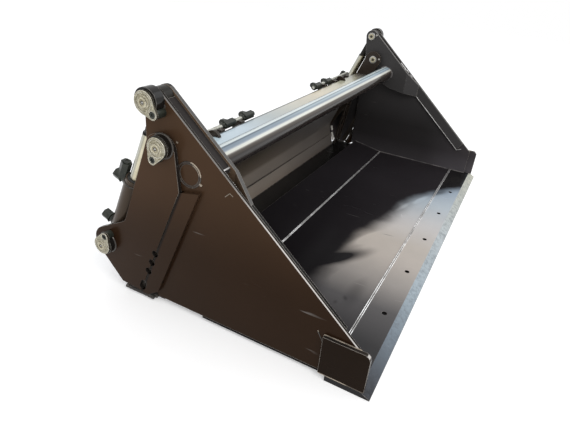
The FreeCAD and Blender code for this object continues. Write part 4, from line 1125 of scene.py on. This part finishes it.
class BUCKET_OT_clam_welds(bpy.types.Operator):
    """Seams of the clam: edge, floor, side plates, edge bars, arms and cross tube"""
    bl_idname = "four_in_one.clam_welds"
    bl_label = "Clam welds"

    SLEEVE_R = 0.024
    WALL_MARKS = ((0.010, -0.010), (-0.016, -0.033))

    def execute(self, context):
        self.floor_seams()
        self.side_seams()
        self.arm_seams()
        return {"FINISHED"}

    def floor_seams(self):
        """Two thin beads side by side on each seam across the floor."""
        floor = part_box("floor_plate")[1]
        runs = []
        for seam, spread in ((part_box("cutting_edge")[1].y, 0.0032), (floor.y, 0.0026)):
            for shift in (-spread, spread):
                runs.append(across(seam + shift, floor.z, CLAM_INNER, BEAD["floor"]))
        add_beads("weld_floor_seams", "clam", "weld", runs, 1)

    def side_seams(self):
        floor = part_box("floor_plate")[1]
        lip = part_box("floor_panel")[1]
        bar_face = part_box("side_edge_bars")[1].x - 0.0105
        hook = front_edge(FRONT_FOOT[0] + EDGE_BAR_W, 0.5 * EDGE_BAR_W)
        low = front_edge(FRONT_FOOT[0] + 1.5 * EDGE_BAR_W, EDGE_BAR_W)
        toe = ARM_TOE_Y + 0.001
        feet, bars = [], []
        for sign in SIGNS:
            wall = sign * (CLAM_INNER - 0.001)
            corners = ((FRONT_FOOT[0], floor.z), (floor.y, floor.z), (lip.y - 0.004, lip.z))
            feet.append(run(wall, corners, BEAD["side foot"]))
            bars.append(run(sign * bar_face, (hook, low, front_edge(ARM_TOE_Y, EDGE_BAR_W)), BEAD["edge bar"]))
            bars.append(run(wall, (front_edge(toe, 0.002), front_edge(toe, EDGE_BAR_W)), BEAD["arm toe"]))
        add_beads("weld_side_feet", "clam", "grey_weld", feet, 2)
        add_beads("weld_edge_bars", "clam", "weld", bars, 3)

    def arm_seams(self):
        low, high = front_edge(INFILL_TOE_Y, 0.006), front_edge(INFILL_TOE_Y + 0.035, 0.006)
        rings, ends = [], []
        for sign in SIGNS:
            face = sign * (ARM_INNER - SINK)
            rings.append(ring(face, TUBE, TUBE_R, BEAD["arm tube"]))
            rings.append(ring(face, HINGE, self.SLEEVE_R, BEAD["arm sleeve"]))
            near, far = sign * (ARM_OUTER + 0.001), sign * (CLAM_INNER - 0.001)
            corners = [on_plane(near, low), on_plane(far, low), on_plane(far, high)]
            ends.append((corners, BEAD["infill"], False))
            for marks in self.WALL_MARKS:
                points = [front_edge(y, 0.005) for y in marks]
                ends.append(run(sign * (CLAM_INNER - 0.0015), points, BEAD["infill wall"]))
        add_beads("weld_arm_rings", "clam", "grey_weld", rings, 4)
        add_beads("weld_infill_ends", "clam", "weld", ends, 5)


class BUCKET_OT_side_marks(bpy.types.Operator):
    """Tube end rings, plug welds and corner plate seams on the outer faces"""
    bl_idname = "four_in_one.side_marks"
    bl_label = "Side marks"

    # The bright finish on the tube arcs, plug blobs and hook mark is a painted highlight on real weld marks
    # Offset from the tube's radius, bead radius, first and last degree, steps
    TUBE_ARCS = ((0.0004, 0.0021, 96, 176, 16), (-0.0050, 0.0012, 110, 170, 12), (0.0, 0.0013, 240, 296, 12))
    PLUGS = (((0.0754, 0.4767), 0.0050), ((0.1525, 0.5815), 0.0036), ((-0.3193, 0.1547), 0.0022))
    HOOK_MARK = ((-0.0053, 0.4682), (-0.0208, 0.4834), (-0.0310, 0.4760))
    TOE_SCAR = ((-0.3193, 0.1547), (-0.3482, 0.1073))

    def execute(self, context):
        bright, dull, seams = [], [], []
        low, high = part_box("corner_plate_left")
        for sign in SIGNS:
            x = sign * (CLAM_HALF + 0.0002)
            dull.append(ring(x, TUBE, TUBE_R, BEAD["tube end"]))
            dull.append(ring(x, TUBE, TUBE_R - 0.0060, BEAD["tube cap"]))
            for offset, size, start, end, steps in self.TUBE_ARCS:
                bright.append(arc(x, TUBE, TUBE_R + offset, size, start, end, steps))
            for centre, size in self.PLUGS:
                bright.append(run(x, (moved(centre, (1, 0), -size), moved(centre, (0.4, 1), size)), size * 0.8))
            bright.append(run(x, self.HOOK_MARK, BEAD["mark"]))
            dull.append(run(x, self.TOE_SCAR, BEAD["scar"]))
            rim = ((low.y + 0.030, high.z + 0.001), (high.y, high.z + 0.001), (high.y + 0.001, low.z + 0.004))
            seams.append(run(sign * (CLAM_HALF + 0.0010), rim, BEAD["corner"]))
            foot = ((low.y + 0.002, low.z), (high.y, low.z))
            seams.append(run(sign * (high.x - 0.0006), foot, BEAD["corner foot"]))
        add_beads("plug_welds_bright", "clam", "tan_weld", bright, 6)
        add_beads("plug_welds_painted", "clam", "painted_weld", dull, 7)
        add_beads("weld_corner_plates", "clam", "tan_weld", seams, 8)
        return {"FINISHED"}


class BUCKET_OT_rear_welds(bpy.types.Operator):
    """Seams of the rear body: moldboard, blade, side plates, bosses and attachment plate"""
    bl_idname = "four_in_one.rear_welds"
    bl_label = "Rear body welds"

    # Each stitch runs from its upper to its lower point beside the moldboard
    STITCHES = (((0.3867, 0.135), (0.3794, 0.107)), ((0.3790, 0.095), (0.3640, 0.046)))
    # Shift outwards, height, distance behind the blade's front and radius of the beads at a blade end
    BLADE_END = ((0.0, 0.0100, 0.020, BEAD["blade end"]), (0.0, 0.0215, 0.080, BEAD["blade end"]),
                 (0.0137, 0.0115, 0.024, BEAD["blade side"]))
    SLEEVE_R = 0.0215
    APEX_ARC = (190, 350)
    # Dark sheets behind the teeth put painted shade into the tooth holes
    # Name, inner and outer station, nearest and farthest distance behind the closing line, body
    SHADE_SHEETS = (("tooth_shade_sheet_", CLAM_HALF + 0.0007, REAR_PLATE_IN - 0.0001, 0.0010, 0.028, "rear_body"),
                ("strip_shade_sheet_", CLAM_HALF - 0.0005, CLAM_HALF + 0.0010, -0.0010, -0.016, "clam"))

    def execute(self, context):
        self.bowl_side()
        self.loader_side()
        self.bosses()
        self.tooth_shade_sheet()
        return {"FINISHED"}

    def bowl_side(self):
        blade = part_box("rear_blade")
        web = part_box("side_web_left")
        wall = [mold_face(z) for z in (0.455, 0.15, 0.03)]
        web_edge = ((web[0].y, web[1].z - 0.01), (web[1].y - 0.010, blade[1].z))
        stitches, seams = [], []
        for sign in SIGNS:
            for stitch in self.STITCHES:
                stitches.append(run(sign * (PLATE_IN + 0.006), stitch, BEAD["stitch"]))
            seams.append(run(sign * (PLATE_IN - SINK), wall, BEAD["bowl"]))
            for edge in (PLATE_OUT + 0.001, CLAM_HALF + 0.002):
                seams.append(run(sign * edge, web_edge, BEAD["bowl"]))
            middle = sign * (blade[1].x + REAR_PLATE_IN) / 2
            for shift, rise, start, size in self.BLADE_END:
                seams.append(run(middle + sign * shift, ((blade[0].y + start, rise), (blade[1].y, rise)), size))
        strip_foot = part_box("moldboard_wear_strip")[0].y
        seams.append(across(strip_foot - SINK, blade[1].z, PLATE_IN, BEAD["bowl"]))
        add_beads("weld_moldboard_stitches", "rear_body", "stitch_weld", stitches, 9)
        add_beads("weld_bowl_side", "rear_body", "painted_weld", seams, 10)

    def loader_side(self):
        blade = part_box("rear_blade")
        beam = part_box("top_beam")
        foot = line_at(MOLD_BEND, MOLD_FOOT, blade[1].z)
        top = behind_moldboard(ATTACH_TOP_Z, MOLD_T + ATTACH_T)
        seams = [across(foot[0] + MOLD_T + 0.001, blade[1].z, PLATE_IN, BEAD["mold foot"]),
                 across(top[0], top[1], ATTACH_HALF, BEAD["attach top"]),
                 across(beam[1].y - 0.001, beam[1].z - 0.0105, PLATE_IN, BEAD["beam"])]
        back = [behind_moldboard(z) for z in (0.215, 0.45)]
        rib = [moved(line_at(MOLD_BEND, MOLD_FOOT, z), (1, 0), MOLD_T) for z in (0.045, 0.080)]
        for sign in SIGNS:
            for x in (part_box("end_gusset_left")[1].x + 0.001, PLATE_IN - 0.001):
                seams.append(run(sign * x, back, BEAD["mold back"]))
            for x in (ATTACH_HALF / 3, ATTACH_HALF * 0.7):
                for shift in (-0.006, 0.006):
                    seams.append(run(sign * (x + shift), rib, BEAD["rib"]))
        add_beads("weld_loader_side", "rear_body", "painted_weld", seams, 11)

    def bosses(self):
        rear, clam = [], []
        for sign in SIGNS:
            for centre in (HINGE, BASE_PIN):
                rear.append(ring(sign * (OUTER_FACE + SINK), centre, BOSS_R + 0.0005, BEAD["boss"]))
                rear.append(ring(sign * (PLATE_IN - 0.0003), centre, self.SLEEVE_R, BEAD["pin sleeve"]))
            clam.append(arc(sign * (CLAM_HALF + SINK), ROD_PIN, APEX_BOSS_R + 0.0005, BEAD["apex"], *self.APEX_ARC))
        add_beads("weld_rear_bosses", "rear_body", "painted_weld", rear, 12)
        add_beads("weld_apex_bosses", "clam", "painted_weld", clam, 13)

    def tooth_shade_sheet(self):
        """Thin dark strips behind both rows of teeth, a painted shade that keeps the floor's light from showing through
        the holes.
        """
        behind = Vector((0, math.cos(CLOSING_LEAN), math.sin(CLOSING_LEAN)))
        for side, sign in SIDES:
            for name, inner, outer, near, far, body in self.SHADE_SHEETS:
                mesh_data = bmesh.new()
                sides = []
                for x in (inner, outer):
                    corners = [on_plane(sign * x, closing_point(z)) + behind * reach
                               for z, reach in ((0.024, near), (0.215, near), (0.209, far), (0.030, far))]
                    sides.append([mesh_data.verts.new(corner) for corner in corners])
                join_rings(mesh_data, *sides)
                mesh_data.faces.new(sides[0])
                mesh_data.faces.new(list(reversed(sides[1])))
                add_piece(name + side, mesh_data, "painted_weld", body, shade=False)


class BUCKET_OT_pin_faces(bpy.types.Operator):
    """Weld rings, grease nipples, inner end washers and lock screws of the pins"""
    bl_idname = "four_in_one.pin_faces"
    bl_label = "Pin faces"

    WELD_RING = ((-SINK, 0.0140), (-SINK, 0.0200), (0.0009, 0.0198), (0.0024, 0.0172), (0.0028, 0.0140))
    FLAG_RING = ((-SINK, 0.0236), (-SINK, 0.0268), (0.0008, 0.0262), (0.0008, 0.0242))
    NIPPLE = ((0, 0.0042), (0.0030, 0.0042), (0.0036, 0.0028), (0.0058, 0.0026), (0.0064, 0.0032),
              (0.0076, 0.0026), (0.0080, 0.0010), (0.0080, 0))
    NIPPLE_DEPTH = 0.0042
    CENTRE = ((0, 0.0062), (0.0013, 0.0062), (0.0013, 0))
    # Places of the screws that lock the inner ends
    HINGE_SCREW = (0.1549, 0.5745)
    ROD_SCREW = (0.1986, 0.6936)

    def execute(self, context):
        for side, sign in SIDES:
            for name, centre, boss_end, body in (("hinge", HINGE, REAR_BOSS_END, "rear_body"),
                                                 ("base", BASE_PIN, REAR_BOSS_END, "rear_body"),
                                                 ("rod", ROD_PIN, APEX_BOSS_END, "clam")):
                self.outer_end(name + "_" + side, on_plane(sign * (boss_end + FLAG_T), centre), sign, body)
            self.inner_end("hinge_" + side, sign, HINGE_PIN_INNER, PLATE_IN, HINGE, self.HINGE_SCREW, "rear_body")
            self.inner_end("rod_" + side, sign, ROD_PIN_INNER, ARM_INNER, ROD_PIN, self.ROD_SCREW, "clam")
        return {"FINISHED"}

    def outer_end(self, name, face, sign, body):
        out = Vector((sign, 0, 0))
        rings = bmesh.new()
        lathe(rings, face, out, self.WELD_RING, 40, hollow=True)
        lathe(rings, face, out, self.FLAG_RING, 48, hollow=True)
        add_piece("pin_rings_" + name, rings, "zinc", body)
        turned_piece("grease_nipple_" + name, "machined", body, face - out * self.NIPPLE_DEPTH, out, self.NIPPLE, 16)

    def inner_end(self, name, sign, end, plate, centre, screw, body):
        inward = Vector((-sign, 0, 0))
        seat = on_plane(sign * plate, centre)
        proud = plate - end
        bore = PIN_R - 0.0005
        washer = ((-SINK, bore), (-SINK, 0.0205), (proud * 0.5, 0.0205), (proud * 0.7, 0.0190), (proud * 0.7, bore))
        turned_piece("retaining_ring_" + name, "machined", body, seat, inward, washer, 40, hollow=True)
        turned_piece("pin_centre_" + name, "rubber", body, seat + inward * (proud - 0.0010), inward, self.CENTRE, 24)
        head = bmesh.new()
        hex_nut(head, on_plane(sign * (plate + SINK), screw), inward, 0.0100, 0.0045)
        add_piece("lock_screw_" + name, head, "machined", body)


class BUCKET_OT_cylinder_details(bpy.types.Operator):
    """Weld rings, rod wipers, barrel collars and port plugs of the cylinders"""
    bl_idname = "four_in_one.cylinder_details"
    bl_label = "Cylinder details"

    # Distances along the cylinder from the base pin
    PORTS = (0.234, 0.052)
    BASE_WELD = 0.036
    EYE_WELD = math.dist(BASE_PIN, ROD_PIN) - 0.0335
    ELBOW = PORTS[0] + 0.060
    # Distances behind the cylinder's axis
    NUT_SEAT = BARREL_R + 0.012
    ELBOW_BACK = 0.0305 + 0.0300 / math.sqrt(3) + 0.0003
    WIPER = ((-0.001, 0.0203), (-0.001, 0.0262), (0.0012, 0.0262), (0.0040, 0.0222), (0.0040, 0.0203))
    COLLAR = ((-0.0045, BARREL_R - 0.001), (-0.0045, BARREL_R + 0.0010), (-0.0010, BARREL_R + 0.0010),
              (0.0, BARREL_R - 0.001))
    REAR_PLUG = ((0, 0.0112), (0.0024, 0.0112), (0.0034, 0.0098), (0.0034, 0.0062), (0.0018, 0.0056), (0.0018, 0))
    TOP_PLUG = ((0, 0.0122), (0.0040, 0.0122), (0.0058, 0.0106), (0.0058, 0.0060), (0.0036, 0.0054), (0.0036, 0))

    def execute(self, context):
        along, back = cylinder_axis()
        for side, sign in SIDES:
            body = "barrel_" + side
            runs = [(circle_about(on_cylinder(sign, self.BASE_WELD), along, BARREL_R + 0.0004), BEAD["barrel"], True)]
            for at in self.PORTS:
                port = circle_about(on_cylinder(sign, at, BARREL_R - 0.0015), back, 0.0138, 24)
                runs.append((port, BEAD["port"], True))
            add_beads("cylinder_welds_" + side, body, "painted_weld", runs, 14 + sign)
            turned_piece("rod_wiper_" + side, "rubber", body, on_cylinder(sign, GLAND_END), along, self.WIPER, 40,
                         hollow=True)
            turned_piece("barrel_collar_" + side, "boss", body, on_cylinder(sign, BARREL_END), along, self.COLLAR,
                         48, hollow=True)
            self.plugs(side, sign, along, back, body)
            eye = circle_about(on_cylinder(sign, self.EYE_WELD), along, 0.0154, 32)
            add_beads("rod_eye_weld_" + side, "rod_" + side, "painted_weld", [(eye, BEAD["rod eye"], True)], 17 + sign)
        return {"FINISHED"}

    def plugs(self, side, sign, along, back, body):
        """Hexagons and plugs of the two ports, and the plug on the upper port's elbow."""
        mesh_data = bmesh.new()
        for at in self.PORTS:
            hex_nut(mesh_data, on_cylinder(sign, at, self.NUT_SEAT - 0.001), back, 0.0335, 0.0060)
            lathe(mesh_data, on_cylinder(sign, at, self.NUT_SEAT + 0.030) - back * 0.001, back, self.REAR_PLUG, 24)
        rise = on_cylinder(sign, self.ELBOW, self.ELBOW_BACK)
        lathe(mesh_data, rise - along * 0.001, along, self.TOP_PLUG, 24)
        add_piece("port_plugs_" + side, mesh_data, "fitting", body)


class BUCKET_OT_line_hardware(bpy.types.Operator):
    """Flare nuts, hose port plugs and clamp bolts of the hydraulic line"""
    bl_idname = "four_in_one.line_hardware"
    bl_label = "Line hardware"

    LINE = (0.300, 0.487)
    TEES = (0.325, 0.455)
    TEE_HALF = 0.029
    STUB = 0.026
    CLAMPS = (0.390, 0.520, 0.690)
    CLAMP_BOLT = (LINE[0] + 0.016, 0.467)
    FLARE = ((0.0095, 0.0085), (0.0095, 0.0112), (0.0150, 0.0100), (0.0150, 0.0085))
    PORT_PLUG = ((0, 0.0108), (0.0060, 0.0108), (0.0090, 0.0085), (0.0095, 0))
    WASHER = ((0, 0.0095), (0.0022, 0.0095), (0.0022, 0))

    def execute(self, context):
        rear = Vector((0, 1, 0))
        for side, sign in SIDES:
            nuts = bmesh.new()
            for x in self.TEES:
                for turn in (-1, 1):
                    start = on_plane(sign * x + turn * (self.TEE_HALF - 0.001), self.LINE)
                    hex_nut(nuts, start, (turn, 0, 0), 0.0245, 0.0100)
                    lathe(nuts, start, (turn, 0, 0), self.FLARE, 24, hollow=True)
            add_piece("flare_nuts_" + side, nuts, "fitting", "rear_body")
            plugs = bmesh.new()
            for x in self.TEES:
                face = on_plane(sign * x, self.LINE) + rear * self.STUB
                lathe(plugs, face - rear * 0.001, rear, self.PORT_PLUG, 24)
            add_piece("hose_port_plugs_" + side, plugs, "rubber", "rear_body")
            bolts = bmesh.new()
            for x in self.CLAMPS:
                place = on_plane(sign * x, self.CLAMP_BOLT)
                lathe(bolts, place - rear * 0.001, rear, self.WASHER, 24)
                hex_nut(bolts, place + rear * SINK, rear, 0.0130, 0.0065)
            add_piece("clamp_bolts_" + side, bolts, "machined", "rear_body")
        return {"FINISHED"}


class BUCKET_OT_stage(bpy.types.Operator):
    """Camera, pale floor, backdrop and soft light"""
    bl_idname = "four_in_one.stage"
    bl_label = "Stage"

    FLOOR_RADIUS = 9.0
    FLOOR_DROP = 0.0005
    LAMP_AIM = (0, 0, 0.3)

    def execute(self, context):
        stage = settings().stage
        self.make_camera(stage)
        self.make_floor(stage)
        self.make_world()
        self.make_lamp("key_light", (-2.2, -2.6, 3.4), stage.key_energy, 2.2, (1.0, 0.97, 0.92))
        self.make_lamp("fill_light", (2.6, -1.6, 2.6), stage.fill_energy, 2.6, (0.90, 0.95, 1.0))
        context.scene.view_settings.view_transform = "Standard"
        return {"FINISHED"}

    def make_camera(self, stage):
        yaw = math.radians(stage.camera_yaw)
        pitch = math.radians(stage.camera_pitch)
        roll = math.radians(stage.camera_roll)
        forward = Vector((math.sin(yaw) * math.cos(pitch), math.cos(yaw) * math.cos(pitch), -math.sin(pitch)))
        level = Vector((math.cos(yaw), -math.sin(yaw), 0))
        above = level.cross(forward)
        right = level * math.cos(roll) + above * math.sin(roll)
        up = above * math.cos(roll) - level * math.sin(roll)
        data = bpy.data.cameras.new("camera")
        data.lens = stage.camera_lens
        data.sensor_width = 36.0
        data.clip_start = 0.05
        camera = bpy.data.objects.new("camera", data)
        bpy.context.scene.collection.objects.link(camera)
        turn = Matrix((right, up, -forward)).transposed()
        camera.matrix_world = Matrix.Translation(stage.camera_place) @ turn.to_4x4()
        bpy.context.scene.camera = camera

    def seen_as_backdrop(self, tree):
        """1 for camera, glossy and transmission rays, which show the background."""
        path = add(tree, "LightPath").outputs
        direct = larger(tree, path["Is Camera Ray"], path["Is Glossy Ray"])
        return larger(tree, direct, path["Is Transmission Ray"])

    def make_floor(self, stage):
        plane = bmesh.new()
        bmesh.ops.create_circle(plane, cap_ends=True, segments=64, radius=self.FLOOR_RADIUS)
        mesh = bpy.data.meshes.new("floor")
        plane.to_mesh(mesh)
        plane.free()
        floor = bpy.data.objects.new("floor", mesh)
        floor.location.z = -self.FLOOR_DROP
        bpy.context.scene.collection.objects.link(floor)
        material, tree, shader = start_material("pale_floor", 0.0, 0.9, 0.0, specular=0.0)
        glow = mix_colour(tree, self.seen_as_backdrop(tree), (0, 0, 0), (0.34, 0.34, 0.34))
        tree.links.new(glow, shader.inputs["Emission Color"])
        shader.inputs["Emission Strength"].default_value = 1.0
        grain = noise(tree, texture_place(tree), 30.0, 4.0)
        tone = mix_colour(tree, grain, scaled(stage.floor_colour, 0.985), stage.floor_colour)
        tree.links.new(tone, shader.inputs["Base Color"])
        mesh.materials.append(material)

    def make_world(self):
        world = bpy.data.worlds.new("studio")
        world.use_nodes = True
        tree = world.node_tree
        shader = tree.nodes["Background"]
        seen = self.seen_as_backdrop(tree)
        tree.links.new(mix_colour(tree, seen, (0.97, 0.98, 1.0), (1, 1, 1)), shader.inputs["Color"])
        tree.links.new(mix_value(tree, seen, 0.85, 1.0), shader.inputs["Strength"])
        bpy.context.scene.world = world

    def make_lamp(self, name, place, energy, size, colour):
        data = bpy.data.lights.new(name, "AREA")
        data.shape = "DISK"
        data.size = size
        data.energy = energy
        data.color = colour
        lamp = bpy.data.objects.new(name, data)
        lamp.location = place
        lamp.rotation_mode = "QUATERNION"
        lamp.rotation_quaternion = (Vector(self.LAMP_AIM) - Vector(place)).to_track_quat("-Z", "Y")
        bpy.context.scene.collection.objects.link(lamp)


class BucketSettings(bpy.types.PropertyGroup):
    """All settings of the bucket."""
    paint: PointerProperty(type=BucketPaintSettings, name="Paint", description="Colours of the paint")
    weld: PointerProperty(type=BucketWeldSettings, name="Welds", description="Size of the weld beads")
    stage: PointerProperty(type=BucketStageSettings, name="Stage", description="Camera, floor and light")


OPERATORS = (BUCKET_OT_stage, BUCKET_OT_finishes, BUCKET_OT_clam_welds, BUCKET_OT_side_marks, BUCKET_OT_rear_welds,
             BUCKET_OT_pin_faces, BUCKET_OT_cylinder_details, BUCKET_OT_line_hardware)


class BUCKET_PT_panel(bpy.types.Panel):
    """Settings and steps of the bucket"""
    bl_idname = "BUCKET_PT_panel"
    bl_label = "Four-in-one bucket"
    bl_space_type = "VIEW_3D"
    bl_region_type = "UI"
    bl_category = "Bucket"

    def draw(self, context):
        chosen = context.scene.four_in_one
        for group in (chosen.paint, chosen.weld, chosen.stage):
            box = self.layout.box()
            for name in group.__annotations__:
                box.prop(group, name)
        for operator in OPERATORS:
            self.layout.operator(operator.bl_idname)


CLASSES = (BucketPaintSettings, BucketWeldSettings, BucketStageSettings, BucketSettings, *OPERATORS, BUCKET_PT_panel)


def register():
    for entry in CLASSES:
        bpy.utils.register_class(entry)
    bpy.types.Scene.four_in_one = PointerProperty(type=BucketSettings)


def unregister():
    del bpy.types.Scene.four_in_one
    for entry in reversed(CLASSES):
        bpy.utils.unregister_class(entry)


def main():
    """Register the add-on and build everything in order."""
    register()
    for operator in OPERATORS:
        group, name = operator.bl_idname.split(".")
        getattr(getattr(bpy.ops, group), name)()


if __name__ == "__main__":
    main()
